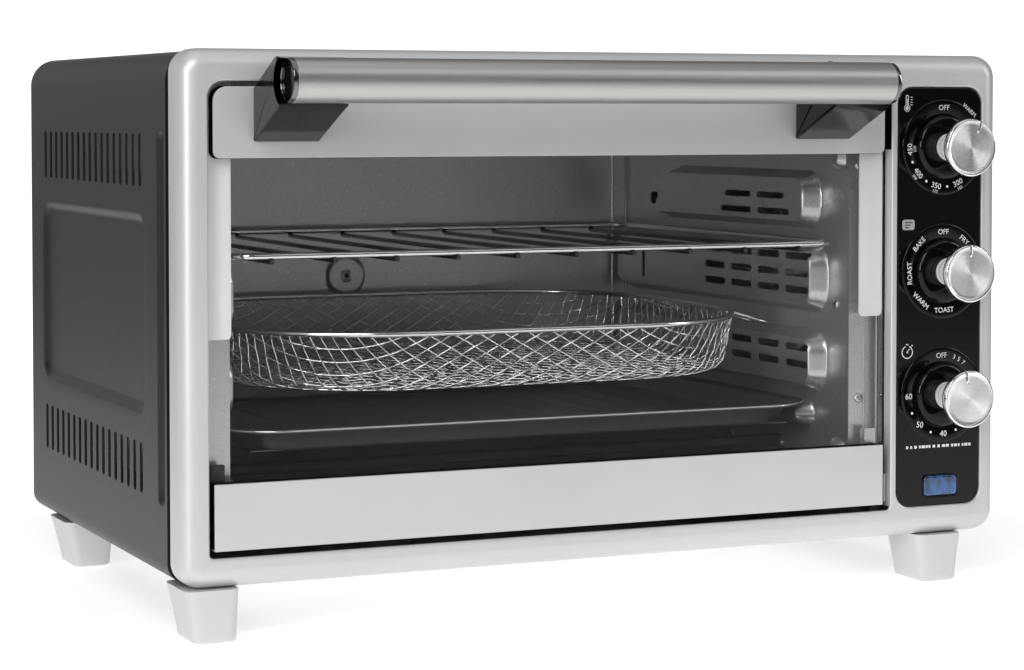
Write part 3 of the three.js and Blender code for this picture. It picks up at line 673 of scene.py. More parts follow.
# ------------------------------------------------------------------ feet
# plan boxes (x0, x1, y0, y1) of each foot at the ground and at the base plate
FEET = {
    "foot_front_left": ((-227.5, -204.5, 1, 33), (-231.5, -203.5, 0.5, 38)),
    "foot_rear_left": ((-225.5, -203.5, 236, 268), (-231.5, -202.5, 231, 270)),
    "foot_front_right": ((187, 210, 1.8, 34), (184, 212.5, 0.8, 38)),
    "foot_rear_right": ((187, 209, 236, 268), (184, 212, 231, 270)),
}
FOOT_R = 5.5
SOLE = 1.7                                    # height of the rounded sole
for node, (ground, top) in FEET.items():
    height = box_mm(node)[1].z
    sole = ((0, 2.2), (0.25, 1.2), (0.8, 0.4), (SOLE, 0))
    rings = [ring_z(z, ground, d, FOOT_R - d * 0.6) for z, d in sole]
    for k in range(1, 9):
        share = k / 8
        box = [a + (b - a) * share ** 1.15 for a, b in zip(ground, top)]
        rings.append(ring_z(SOLE + (height - SOLE) * share, box, 0, FOOT_R))
    make(node + "_shoe", skin(rings), foot_white, "oven", replaces=(node,))


# ------------------------------------------------------------------ control panel
def centre_z(node):
    lo, hi = box_mm(node)
    return (lo.z + hi.z) / 2


KNOB_X = sum(v.x for v in box_mm("temperature_knob_cap")) / 2
# name, height of the axis and the angle its pointer rests at
KNOBS = [(key, centre_z(key + "_knob_cap"), rest)
         for key, rest in (("temperature", 25.0), ("function", 0.0), ("timer", -9.0))]
LENS_LO, LENS_HI = box_mm("indicator_lens")
LENS = (LENS_LO.x + 1.5, LENS_HI.x - 1.5, LENS_LO.z + 1.5, LENS_HI.z - 1.5)
DIAL_DISC = [(26.0, 0.8), (26.0, 0.55), (25.75, 0.3), (25.2, 0.18), (24.6, 0.16), (18.4, 0.16), (18.1, 0.3),
             (18.0, 0.8), (26.0, 0.8)]
DIAL_BOSS = [(17.6, 0.9), (17.6, -0.6), (17.4, -1.5), (17.0, -2.2), (16.4, -2.8), (15.6, -3.2), (14.6, -3.4),
             (4.2, -3.4), (3.8, -3.2), (3.8, 0.9), (17.6, 0.9)]
CAP = [(0, -22.3), (13.8, -22.3), (14.6, -22.45), (15.2, -22.8), (15.45, -23.3), (15.5, -23.8), (15.5, -25.7),
       (15.4, -26.2), (15.1, -26.6), (14.7, -26.8), (14.4, -26.8), (14.2, -26.7), (12.0, -26.7), (8, -26.7),
       (4, -26.7), (0, -26.7)]
CAP_RING = [(8.1, -22.0), (12.4, -22.0), (12.9, -21.85), (13.1, -21.45), (12.9, -21.05), (12.4, -20.9),
            (8.1, -20.9), (8.1, -22.0)]
STEM = [(0, -22.05), (7.7, -22.05), (7.4, -19), (7.05, -15), (6.85, -11), (6.8, -8.2), (7.2, -8.0),
        (7.2, -6.6), (6.9, -6.4), (6.9, -5.2), (7.3, -5.0), (7.3, -3.8), (3, -3.7), (3, 30), (0, 30)]


def build_panel():
    outline = ring_y(0, PANEL_OPEN, 0.35, PANEL_CORNER - 0.35, 10)
    hole = ring_y(0, LENS, -0.4, 2.3, 6)
    cuts = [[(x, z) for x, _, z in loop] for loop in (outline, hole)]
    bores = [circle(KNOB_X, z, 3.7, 24) for _, z, _ in KNOBS]
    make("control_panel_face", plate(cuts[0], cuts[1:] + bores, 0.7, 2.8, 0.7, 4), black_gloss, "oven",
         replaces=("control_panel_plate",), flat=True)
    for key, z, _ in KNOBS:
        lathe(key + "_dial_ring", DIAL_DISC, "y", (KNOB_X, 0, z), black_gloss, "oven", 120)
        lathe(key + "_dial_boss", DIAL_BOSS, "y", (KNOB_X, 0, z), black_gloss, "oven", 96)


def build_knob(body, c, rest):
    """Turned cap with a pointer notch cut at the angle rest, its ring and its stem."""
    cap = lathe(body + "_cap_turned", CAP, "y", c, [turned_steel, cap_face], body, 120, sharp=50,
                replaces=(body + "_cap",))
    recentre(cap, c)
    nx, nz = math.sin(math.radians(rest)), math.cos(math.radians(rest))
    loop = [(9.9, 0.15), (10.6, 0.7), (17, 0.8)]
    loop += [(r, -w) for r, w in reversed(loop)]
    rings = []
    for y, grow in ((-28.5, 1.25), (-26.6, 1.0), (-25.7, 0.55)):
        rings.append([(c[0] + nx * r + nz * w * grow, y, c[2] + nz * r - nx * w * grow) for r, w in loop])
    settle(cap, cut(cap, skin(rings), turned_steel, body))
    for p in cap.data.polygons:
        q = p.center / MM
        if q.y < -26.65 and math.hypot(q.x, q.z) < 14.25:
            p.material_index = 1
    lathe(body + "_ring_moulded", CAP_RING, "y", c, black_gloss, body, 96, replaces=(body + "_ring",))
    lathe(body + "_stem_turned", STEM, "y", c, stem_steel, body, 64, replaces=(body + "_stem",))


def build_lens():
    profile = ((-1.2, 5), (-1.2, 3.8), (0, 3.6), (0, 0.5), (0.15, 0.1), (0.5, -0.15), (1.1, -0.3))
    rings = [ring_y(y, LENS, d, max(2 - d, 0.8), 6) for d, y in profile]
    make("indicator_lens_cap", skin(rings), blue_lens, "oven", replaces=("indicator_lens",), flat=True)
    # a thin black bead runs round the lens
    loop = ring_y(0.62, LENS, -0.55, 2.4, 6)
    make("indicator_bezel", tube_mesh([loop + loop[:1]], 0.28), black_gloss, "oven")


build_panel()
for key, z, rest in KNOBS:
    build_knob(key + "_knob", (KNOB_X, 0, z), rest)
build_lens()


# ------------------------------------------------------------------ printed scales
PRINTS = {"white": ([], []), "grey": ([], []), "dark": ([], [])}
ON_DIAL, ON_PANEL = 0.1, 0.62                 # y of the prints


def add_print(group, points, faces, y):
    """Flat shapes at y from (x, z) points."""
    verts, all_faces = PRINTS[group]
    all_faces += [tuple(i + len(verts) for i in f) for f in faces]
    verts += [(x, y, z) for x, z in points]


def label(text, x, z, size, angle, bold=0.0):
    """White lettering centred on (x, z), turned clockwise by angle degrees."""
    cu = bpy.data.curves.new("lettering", "FONT")
    cu.body, cu.size, cu.offset, cu.resolution_u = text, size, bold, 3
    cu.align_x, cu.align_y = "CENTER", "CENTER"
    ob = bpy.data.objects.new("lettering", cu)
    bpy.context.scene.collection.objects.link(ob)
    bpy.context.view_layer.update()
    mesh = bpy.data.meshes.new_from_object(ob.evaluated_get(bpy.context.evaluated_depsgraph_get()))
    ca, sa = math.cos(math.radians(angle)), math.sin(math.radians(angle))
    points = [(x + v.co.x * ca + v.co.y * sa, z - v.co.x * sa + v.co.y * ca) for v in mesh.vertices]
    add_print("white", points, [tuple(p.vertices) for p in mesh.polygons], ON_DIAL)
    bpy.data.objects.remove(ob)
    bpy.data.curves.remove(cu)
    bpy.data.meshes.remove(mesh)


def on_dial(z, angle, r):
    """A point at a clockwise angle from the top of the dial whose centre is at height z."""
    a = math.radians(angle)
    return KNOB_X + r * math.sin(a), z + r * math.cos(a)


def round_label(text, z, angle, r, size, bold=0.0):
    """Lettering on a dial, its feet towards the centre on the upper half."""
    label(text, *on_dial(z, angle, r), size, angle - 180 if 100 < angle < 260 else angle, bold)


def dot(x, z, r, y=ON_DIAL):
    add_print("white", circle(x, z, r, 16), [tuple(range(16))], y)


def bar(group, x0, x1, z0, z1, y=ON_PANEL, r=0.0):
    loop = round_rect(x0, x1, z0, z1, r, 4) if r else [(x0, z0), (x1, z0), (x1, z1), (x0, z1)]
    add_print(group, loop, [tuple(range(len(loop)))], y)


def stroke(pts, width, closed=False):
    """A line of even width along (x, z) points."""
    P = [Vector(p) for p in pts]
    n = len(P)
    left, right = [], []
    for i in range(n):
        a = P[i - 1] if (closed or i > 0) else P[i]
        b = P[(i + 1) % n] if (closed or i < n - 1) else P[i]
        d = (b - a).normalized()
        m = Vector((-d.y, d.x)) * width / 2
        left.append(P[i] + m)
        right.append(P[i] - m)
    faces = [(i, (i + 1) % n, n + (i + 1) % n, n + i) for i in range(n if closed else n - 1)]
    add_print("white", left + right, faces, ON_PANEL)


def arc_pts(cx, cz, r, a0, a1, n=24):
    """Clockwise angles from the top, in degrees."""
    turn = [math.radians(a0 + (a1 - a0) * i / n) for i in range(n + 1)]
    return [(cx + r * math.sin(a), cz + r * math.cos(a)) for a in turn]


def print_dials():
    temp, func, timer = [z for _, z, _ in KNOBS]
    round_label("OFF", temp, 0, 21.4, 4.1)
    round_label("WARM", temp, 39, 25.8, 3.3)
    for text, a, sub in (("300", 155, "150"), ("350", 193, "175"), ("400", 229, "200"), ("450", 267, "230")):
        round_label(text, temp, a, 21.6, 4.3)
        round_label(sub, temp, a, 24.7 if 100 < a < 260 else 18.6, 2.3)
    for a in (75, 95, 115, 135, 174, 211, 248):
        dot(*on_dial(temp, a, 21.6), 0.72)
    for text, a in (("OFF", 0), ("FRY", 39), ("TOAST", 178), ("WARM", 222), ("ROAST", 268), ("BAKE", 314)):
        round_label(text, func, a, 21.4, 4.0, 0.02)
    for a in (85, 132):
        dot(*on_dial(func, a, 21.6), 0.6)
    round_label("OFF", timer, -2, 21.4, 4.0)
    for text, a in (("3", 20), ("5", 29), ("7", 38)):
        round_label(text, timer, a, 21.6, 3.6)
    for text, a, turn in (("40", 178, 0), ("50", 222, 8), ("60", 269, 0)):
        label(text, *on_dial(timer, a, 21.6), 4.5, turn, 0.02)
    for a in (60, 82, 104, 126, 156, 200, 244):
        dot(*on_dial(timer, a, 21.6), 0.72)


def print_tick_line():
    """A plain line of ticks under the timer."""
    x, z = 175.2, 75.0
    rnd = random.Random(3)
    while x < 218:
        w = rnd.uniform(1.0, 2.3)
        bar("white", x, min(x + w, 218.4), z - 0.75, z + 0.75)
        x += w + rnd.choice((0.5, 0.5, 1.4))


def print_marks():
    """A thermometer, a clock and a small badge, one beside each dial."""
    tx, tz = 174.7, 262.3
    bulb = arc_pts(tx, tz - 2.6, 1.7, 25, 335, 20)
    stroke(bulb + [(tx - 0.72, tz + 3.6)] + arc_pts(tx, tz + 3.6, 0.72, -90, 90, 8)[1:], 0.36, closed=True)
    dot(tx, tz - 2.6, 0.95, ON_PANEL)
    bar("white", tx - 0.2, tx + 0.2, tz - 2.4, tz + 2.4)
    for k in range(4):
        bar("white", tx + 2.1, tx + 3.4, tz + 3.2 - k * 1.4, tz + 3.5 - k * 1.4)
    cx, cz = 175.6, 127.1
    stroke(arc_pts(cx, cz, 3.3, 20, 340, 40), 0.5)
    bar("white", cx - 0.7, cx + 0.7, cz + 3.9, cz + 4.4)
    stroke([(cx, cz), (cx + 1.3, cz + 1.7)], 0.5)
    stroke([(cx + 2.6, cz + 3.2), (cx + 3.3, cz + 3.9)], 0.5)
    dot(cx, cz, 0.5, ON_PANEL)
    bar("grey", 172.0, 179.8, 193.6, 199.2, r=1.4)
    for k in range(3):
        bar("dark", 173.6, 178.2 - 1.1 * k, 197.4 - 1.4 * k, 198.0 - 1.4 * k, 0.58)


print_dials()
print_tick_line()
print_marks()
for group, mat in (("white", print_white), ("grey", print_grey), ("dark", shade_and_print_black)):
    ob = make("scale_print_" + group, PRINTS[group], mat, "oven", fix=False)
    for p in ob.data.polygons:
        if p.normal.y > 0:
            p.flip()


# ------------------------------------------------------------------ handle
BAR_LO, BAR_HI = box_mm("handle_bar")
BAR_R = (BAR_HI.y - BAR_LO.y) / 2
BAR_C = (0, (BAR_LO.y + BAR_HI.y) / 2, (BAR_LO.z + BAR_HI.z) / 2)
BAR_X = (box_mm("handle_end_cap_left")[0].x, box_mm("handle_end_cap_right")[1].x)


def build_bar():
    r = BAR_R
    x0, x1 = BAR_X[0] + 2.4, BAR_X[1] - 2.4
    tube = [(r - 1.4, x0), (r - 0.15, x0), (r, x0 + 0.15)]
    tube += [(r, x0 + (x1 - x0) * k / 12) for k in range(1, 12)]
    tube += [(r, x1 - 0.15), (r - 0.15, x1), (r - 1.4, x1), tube[0]]
    ob = lathe("handle_bar_tube", tube, "x", BAR_C, bar_steel, "door", 128, replaces=("handle_bar",))
    recentre(ob, ((x0 + x1) / 2, BAR_C[1], BAR_C[2]))
    # (radius, distance from the bar's end)
    ring = [(r - 1.8, 12), (r - 1.8, 2.3), (r, 2.3), (r, 0.5), (r - 0.15, 0.15), (r - 0.5, 0),
            (r - 0.85, 0.1), (r - 1.05, 0.5), (r - 1.1, 1.5), (r - 2.6, 1.7), (r - 2.6, 12), (r - 1.8, 12)]
    plug = [(0, 0.9), (5.6, 0.95), (r - 1.7, 1.2), (r - 1.15, 1.45), (r - 2.6, 1.75), (r - 2.6, 8), (0, 8)]
    for side, way, end in (("left", 1, BAR_X[0]), ("right", -1, BAR_X[1])):
        turned = [[(radius, end + way * d) for radius, d in profile] for profile in (ring, plug)]
        lathe("handle_end_ring_" + side, turned[0], "x", BAR_C, dark_chrome, "door", 96,
              replaces=("handle_end_cap_" + side,))
        lathe("handle_end_plug_" + side, turned[1], "x", BAR_C, smoke, "door", 64)


def arm_outline():
    """Side view of an arm: two corners on the rail and a bore that takes the rear of the bar."""
    bore = BAR_R + 0.3
    turn = [math.radians(a) for a in range(-84, 73, 6)]
    cup = [(BAR_C[1] + bore * math.cos(a), BAR_C[2] + bore * math.sin(a)) for a in turn]
    low, high, under, over = (-0.6, 243), (-0.6, 269.4), (-37.5, 258.8), (-33, 284.4)

    def corner(*points):
        *at, radius = points
        return [tuple(p.xy) for p in bend(*(Vector((*p, 0)) for p in at), radius, 4)]

    outline = corner(high, low, under, 1.0) + corner(low, under, cup[0], 2.5) + cup
    return outline + corner(cup[-1], over, high, 3.0) + corner(over, high, low, 1.0)


build_bar()
for side in ("left", "right"):
    lo, hi = box_mm("handle_bracket_" + side)
    rings = []
    for way, x in ((1, lo.x), (-1, hi.x)):
        # from the end face (most inset) to the full outline
        part = [[(x + way * dx, p.x, p.y) for p in offset_loop(arm_outline(), -d)]
                for d, dx in rounding(1.1, quarter(4))]
        rings += part[::way]
    make("handle_arm_" + side, skin(rings), smoke, "door", replaces=("handle_bracket_" + side,), flat=True)


# ------------------------------------------------------------------ oven cavity
CAV = (-204.3, 147.3, 16.3, 284.7, 62.3, 261.7)    # x0, x1, y0, y1, z0, z1
# z0, z1, y0, y1 and the lean of the far end of each pressed shelf rib
RIBS = ((193, 225, 44, 226, 0.53), (147, 184.4, 36, 282.5, 0), (102.7, 136.5, 37, 282.5, 0),
        (82.6, 97.2, 50, 282.5, 0))
RIB_DEPTH = 10.3
BOSS = (-44.0, 158.2)                              # x and z of the round boss in the back wall
BACK_FACE = box_mm("cavity_back_wall")[1].y - 1.0


def build_side_walls():
    presses = []
    for z0, z1, y0, y1, lean in RIBS:
        presses.append((y0, y1, z0, z1, min(12.5, (z1 - z0) / 2 - 0.3), 4.2, RIB_DEPTH, lean))
    presses += [(19, 33, 69, 79, 4, 3.5, 4.5), (19, 31, 226, 270, 5, 3.5, 4.5)]
    ys = axis_lines(CAV[2], CAV[3], 2.6)
    ys = sorted(set(ys + [y0 + k * 0.7 for _, _, y0, _, _ in RIBS for k in range(9)]))
    zs = axis_lines(CAV[4], CAV[5], 1.4)
    # rows of slots: y of the first, length, pitch, count, z of the lower edge, height, end radius
    rows = [(68, 30.4, 0, 1, 209, 3.5, 1.7), (106.5, 29.8, 0, 1, 209, 3.5, 1.7),
            (62.4, 35.9, 0, 1, 200, 3.5, 1.7), (105.6, 35.8, 0, 1, 200, 3.5, 1.7)]
    rows += [(41.4, 25.0, 31.6, 4, z, 4, 1.9) for z in (175.7, 166.2, 157.0)]
    rows += [(41.4, 24.6, 31.3, 3, z, 4, 1.9) for z in (125.2, 115.9)]
    rows.append((239.4, 4, 0, 1, 155, 17, 1.9))
    slots = [(y + i * pitch, y + length + i * pitch, z, z + tall, r, RIB_DEPTH)
             for y, length, pitch, count, z, tall, r in rows for i in range(count)]
    slots.append((241, 252, 200.5, 208, 2.4, 0))
    for side, x, way, cuts in (("right", CAV[1], -1, slots), ("left", CAV[0], 1, [])):
        pressed_sheet(f"cavity_{side}_sheet", ys, zs, lambda y, z, d: (x + way * d, y, z), presses, cuts,
                      -1.0, galvanised, "oven", replaces=(f"cavity_{side}_wall",))


def build_back_wall():
    (bx, bz), r = BOSS, 13
    presses = [(bx - r, bx + r, bz - r, bz + r, r, 2.4, 2.6)]
    presses += [(136.4, 138.0, 60, 264, 0.8, 0.8, 0.7), (145.4, 146.6, 60, 264, 0.6, 0.6, 0.7)]
    xs = fine_lines(CAV[0] - 0.6, CAV[1] + 0.6, 22, [(bx - r - 1, bx + r + 1, 0.8), (136, 147, 0.4)])
    zs = fine_lines(CAV[4] - 0.6, CAV[5] + 0.6, 16, [(bz - r - 1, bz + r + 1, 0.8)])
    pressed_sheet("cavity_back_sheet", xs, zs, lambda x, z, d: (x, BACK_FACE - d, z), presses, [], -1.0,
                  galvanised, "oven", replaces=("cavity_back_wall",))


build_side_walls()
build_back_wall()
for node in ("upper_heater_front", "upper_heater_rear", "lower_heater_front", "lower_heater_rear"):
    lo, hi = box_mm(node)
    r, c = (hi.y - lo.y) / 2, (0, (lo.y + hi.y) / 2, (lo.z + hi.z) / 2)
    prof = [(0, lo.x), (r / 2, lo.x), (r / 2, lo.x + 6), (r, lo.x + 6.4)]
    prof += [(r, lo.x + 12 + (hi.x - lo.x - 24) * k / 16) for k in range(17)]
    prof += [(r, hi.x - 6.4), (r / 2, hi.x - 6), (r / 2, hi.x), (0, hi.x)]
    lathe(node + "_rod", prof, "x", c, heater_skin, "oven", 32, replaces=(node,))


# ------------------------------------------------------------------ screws and small fixings
def screw(name, at, direction, r, mat=screw_steel):
    """Pan-head screw with a cross recess; direction is the way its head faces."""
    d = Vector(direction)
    u = d.orthogonal().normalized()
    w = d.cross(u)
    seg, height = 32, 1.4
    turn = [2 * math.pi * k / seg for k in range(seg)]
    prof = [(1, 0), (1, 0.35), (0.93, 0.65), (0.75, 0.88), (0.5, 1), (0.42, 1)]
    # shares of the head's radius and height, then the floor of the recess with its four arms
    rings = [[(radius, rise) for _ in turn] for radius, rise in prof]
    arms = [max(abs(math.cos(a)), abs(math.sin(a))) > 0.9 for a in turn]
    rings.append([(0.34, 0.25) if arm else (0.16, 0.8) for arm in arms])
    points = [[Vector(at) + d * (height * rise) + (u * math.cos(a) + w * math.sin(a)) * (r * radius)
               for a, (radius, rise) in zip(turn, ring)] for ring in rings]
    make(name, skin(points, (False, True)), mat, "oven", sharp=40, fix=False)


def build_screws():
    screw("front_frame_screw_upper", (153.5, 15.0, 228.6), (0, -1, 0), 2.6)
    screw("front_frame_screw_lower", (153.5, 15.0, 101.7), (0, -1, 0), 2.6)
    screw("cavity_wall_screw", (147.2, 28, 152.3), (-1, 0, 0), 2.4)
    for i, (y, z) in enumerate(((145, 68.2), (87.6, 69.3))):
        screw(f"cavity_floor_screw_{i}", (147.2, y, z), (-1, 0, 0), 2.4)
    at, face = (BOSS[0], 0, BOSS[1]), BACK_FACE - 2.6
    rivet = [(4.4, 0.5), (4.4, -0.1), (3.5, -0.3), (3.1, -0.9), (2.2, -1.1), (1.5, -0.7), (1.3, 0.4),
             (4.4, 0.5)]
    # the bore is a near-black plug that paints the shade inside the rivet's hole
    bore = [(0, -0.35), (1.35, -0.35), (1.35, 0.5), (0, 0.5)]
    for name, profile, mat, seg in (("", rivet, screw_steel, 40), ("_bore_shade", bore, shade_and_print_black, 24)):
        lathe("cavity_back_rivet" + name, [(r, face + y) for r, y in profile], "y", at, mat, "oven", seg,
              slot="galvanised_sheet")
    y = box_mm("rear_panel")[1].y
    places = ((-215, 270), (0, 274), (215, 270), (-220, 160), (220, 160), (-215, 42), (0, 38), (215, 42))
    for i, (x, z) in enumerate(places):
        screw(f"rear_panel_screw_{i}", (x, y, z), (0, 1, 0), 3.2, hinge_black)


build_screws()


# ------------------------------------------------------------------ wire rack
def build_rack():
    x0, x1, _, _ = plan_box("wire_rack")
    frame_r = 1.7
    z = box_mm("wire_rack")[1].z - frame_r
    loop = ring_z(z, (x0 + frame_r, x1 - frame_r, 20, 277), 0, 10)
    rods = []
    for i in range(10):
        x = -181.2 + i * 33.3
        side = ((18.2, -2.7), (60, -2.8), (150, -3.0), (275.6, -3.0), (279.2, -2.9), (279.3, 0.4))
        rods.append(smooth_path([(x, y, z + dz) for y, dz in side], 1.6, 5))
    make("wire_rack_frame", tube_mesh([loop + loop[:1]], frame_r, 14), wire_metal, "rack",
         replaces=("wire_rack",), sharp=60)
    make("wire_rack_rods", tube_mesh(rods, 1.3, 12), rod_shaded_wire, "rack", sharp=60)


build_rack()


# ------------------------------------------------------------------ frying basket
BASKET = (-186.0, 119.0, 28.0, 272.0, 114.6, 147.4)    # x0, x1, y0, y1, z0, z1
BASKET_R = 90.0                    # plan radius of the rim corners
BASKET_TILT = 0.0105               # the rear of the rim stands a little higher than the front
BASKET_TAPER = 4.0                 # how far the wall leans in on its way down
HEM = 8.5                          # radius of the turn from wall to bottom
MESH_WIDE, MESH_TALL = 13.8, 7.8   # diagonals of one opening of the mesh
WALL_RISE = BASKET[5] - BASKET[4] - 3.2
WALL_RUN = WALL_RISE - HEM + HEM * math.pi / 2


def basket_inset(h):
    """Inset from the rim outline and height above the bottom, h along the wall from the bottom."""
    arc = HEM * math.pi / 2
    if h < arc:
        a = h / HEM
        return BASKET_TAPER + HEM * (1 - math.sin(a)), HEM * (1 - math.cos(a))
    rise = h - arc
    return BASKET_TAPER * (1 - rise / (WALL_RISE - HEM)), HEM + rise


STRAIGHT = (BASKET[1] - BASKET[0] - 2 * BASKET_R, BASKET[3] - BASKET[2] - 2 * BASKET_R)
BASKET_MID = ((BASKET[0] + BASKET[1]) / 2, (BASKET[2] + BASKET[3]) / 2)
CORNER_AT = [tuple(BASKET[i] - BASKET_R if i % 2 else BASKET[i] + BASKET_R for i in pair)
             for pair in ((1, 2), (1, 3), (0, 3), (0, 2))]
CORNER_FROM = (-math.pi / 2, 0.0, math.pi / 2, math.pi)


def bottom_z(y):
    return BASKET[4] + 1.6 + BASKET_TILT * (y - 150)


def stretch(k):
    """Length of straight k, or the angle turned by corner k."""
    return math.pi / 2 if k % 2 else STRAIGHT[k // 2 % 2]


def basket_wall(k, w, h):
    """Point and outward plan direction on the wall, h along it from the bottom. The outline runs front
    straight 0, front right corner 1, right straight 2 and so on; w is millimetres or the angle turned."""
    inset, rise = basket_inset(h)
    c = k // 2
    a = CORNER_FROM[c] + (w if k % 2 else 0)
    n = Vector((math.cos(a), math.sin(a)))
    p = Vector(CORNER_AT[c]) + n * (BASKET_R - inset)
    if k % 2 == 0:
        p -= Vector((-n.y, n.x)) * (stretch(k) - w)
    return Vector((p.x, p.y, bottom_z(p.y) + rise)), n


def wall_walk(k, w, h, heading, count, lift):
    """Follows one mesh wire up the wall to the rim; heading is its plan direction on the flat sheet."""
    path = []
    step = 1.3
    pitch = math.hypot(MESH_WIDE, MESH_TALL) / 2
    for _ in range(400):
        p, n = basket_wall(k, w, h)
        path.append(p + Vector((*n, 0)) * (lift * math.cos(math.pi * count)))
        if h >= WALL_RUN - 1e-6:
            break
        t = Vector((-n.y, n.x))
        along, up = heading.dot(t) * step, heading.dot(n) * step
        share = min(1.0, (WALL_RUN - h) / up) if up > 1e-9 else 1.0
        h += up * share
        along *= share
        count += step * share / pitch
        w += along / (BASKET_R - basket_inset(h)[0]) if k % 2 else along
        change = BASKET_R if k % 2 else 1 / BASKET_R
        if w > stretch(k):
            w = (w - stretch(k)) * change
            k = (k + 1) % 8
        elif w < 0:
            w *= change
            k = (k - 1) % 8
            w += stretch(k)
    return path


def outline_place(x, y):
    """Straight or corner of the wall that stands next to a point on the bottom's edge."""
    (bx, ay), (_, by), (ax, _), _ = CORNER_AT
    if ax <= x <= bx:
        return (0, x - ax) if y < ay else (4, bx - x)
    if ay <= y <= by:
        return (2, y - ay) if x > bx else (6, by - y)
    c = (0 if y < ay else 1) if x > bx else (3 if y < ay else 2)
    cx, cy = CORNER_AT[c]
    return 2 * c + 1, (math.atan2(y - cy, x - cx) - CORNER_FROM[c]) % (2 * math.pi)


def mesh_paths():
    """Every wire of the diagonal mesh, from rim to rim."""
    lift = 0.36                                        # half the height that the weave rises and falls
    inset = basket_inset(0)[0]
    r = BASKET_R - inset
    x0, x1, y0, y1 = BASKET[0] + inset, BASKET[1] - inset, BASKET[2] + inset, BASKET[3] - inset
    cell = math.hypot(MESH_WIDE, MESH_TALL)
    apart = MESH_WIDE * MESH_TALL / cell               # distance between neighbouring wires
    mid = Vector(BASKET_MID)

    def inside(p):
        dx = max(x0 + r - p.x, p.x - (x1 - r), 0)
        dy = max(y0 + r - p.y, p.y - (y1 - r), 0)
        return dx * dx + dy * dy <= r * r and x0 <= p.x <= x1 and y0 <= p.y <= y1

    def edge(a, b):
        """Last point inside the bottom between an inside point a and an outside point b."""
        for _ in range(24):
            m = (a + b) / 2
            a, b = (m, b) if inside(m) else (a, m)
        return a

    paths = []
    for family in (1, -1):
        d = Vector((MESH_WIDE, family * MESH_TALL)).normalized()
        n = Vector((-d.y, d.x))
        sign = family * lift
        corners = [Vector(c) - mid for c in ((x0, y0), (x1, y0), (x1, y1), (x0, y1))]
        reach = int(max(abs(n.dot(c)) for c in corners) / apart) + 1
        for i in range(-reach, reach + 1):
            base = mid + n * (i * apart)
            flat = [base + d * (q * 1.9) for q in range(-110, 111)]
            hit = [q for q, p in enumerate(flat) if inside(p)]
            if not hit:
                continue
            first = edge(flat[hit[0]], flat[hit[0] - 1])
            last = edge(flat[hit[-1]], flat[hit[-1] + 1])
            middle = []
            for p in (flat[q] for q in hit):
                wave = sign * math.cos(math.pi * ((p - base).dot(d) / cell * 2 + i))
                middle.append(Vector((p.x, p.y, bottom_z(p.y) + wave)))
            ends = []
            for p, way in ((first, -1), (last, 1)):
                k, w = outline_place(p.x, p.y)
                count = (p - base).dot(d) / cell * 2 * way + i
                ends.append(wall_walk(k, w, 0.0, d * way, count, sign))
            paths.append(ends[0][::-1] + middle + ends[1])
        # wires that stay on the wall, beyond the last one that crosses the bottom
        for out in (n, -n):
            turn = [(math.atan2(out.y, out.x) - start) % (2 * math.pi) for start in CORNER_FROM]
            c = min(range(4), key=lambda q: turn[q])
            support = out.dot(Vector(CORNER_AT[c]) - mid) + r
            i = int(support / apart) + 1
            while i * apart - support < WALL_RUN:
                h = i * apart - support
                up, down = (wall_walk(2 * c + 1, turn[c], h, way, i, sign) for way in (d, -d))
                paths.append(down[::-1] + up[1:])
                i += 1
    return paths


def hoop(h):
    """The basket's outline at one distance along the wall."""
    pts = [basket_wall(k, stretch(k) * i / 16, h)[0] for k in range(8) for i in range(16)]
    return pts + pts[:1]


def ears():
    """Two bent wire ears on each side, where the basket rests in the cavity."""
    paths, wide = [], 22
    y_mid = (BASKET[2] + BASKET_R, BASKET[3] - BASKET_R)
    for way, xo in ((1, 141.6), (-1, -198.6)):
        for y in (88, 188):
            near = []
            for q in (y, y + wide):
                out = max(y_mid[0] - q, q - y_mid[1], 0)
                x = BASKET[1] - BASKET_R + math.sqrt(max(BASKET_R ** 2 - out ** 2, 0))
                near.append(x if way > 0 else 2 * BASKET_MID[0] - x)
            loop = [(near[0], y, 145.2), (xo - way * 7, y, 139), (xo - way * 0.5, y + 3, 137.9)]
            loop += [(xo - way * 0.5, y + wide - 3, 137.9), (xo - way * 7, y + wide, 139)]
            loop.append((near[1], y + wide, 145.8))
            paths.append(smooth_path(loop, 4, 6))
    return paths


make("fry_basket_mesh", tube_mesh(mesh_paths(), 0.43, 6), wire_metal, "basket",
     replaces=("fry_basket",), sharp=70)
verts, faces = [], []
for paths, radius, sides in (([hoop(WALL_RUN)], 1.55, 14), ([hoop(0.0)], 0.8, 10), (ears(), 1.3, 12)):
    v, f = tube_mesh(paths, radius, sides)
    faces += [tuple(i + len(verts) for i in face) for face in f]
    verts += v
make("fry_basket_frame", (verts, faces), wire_metal, "basket", sharp=70)


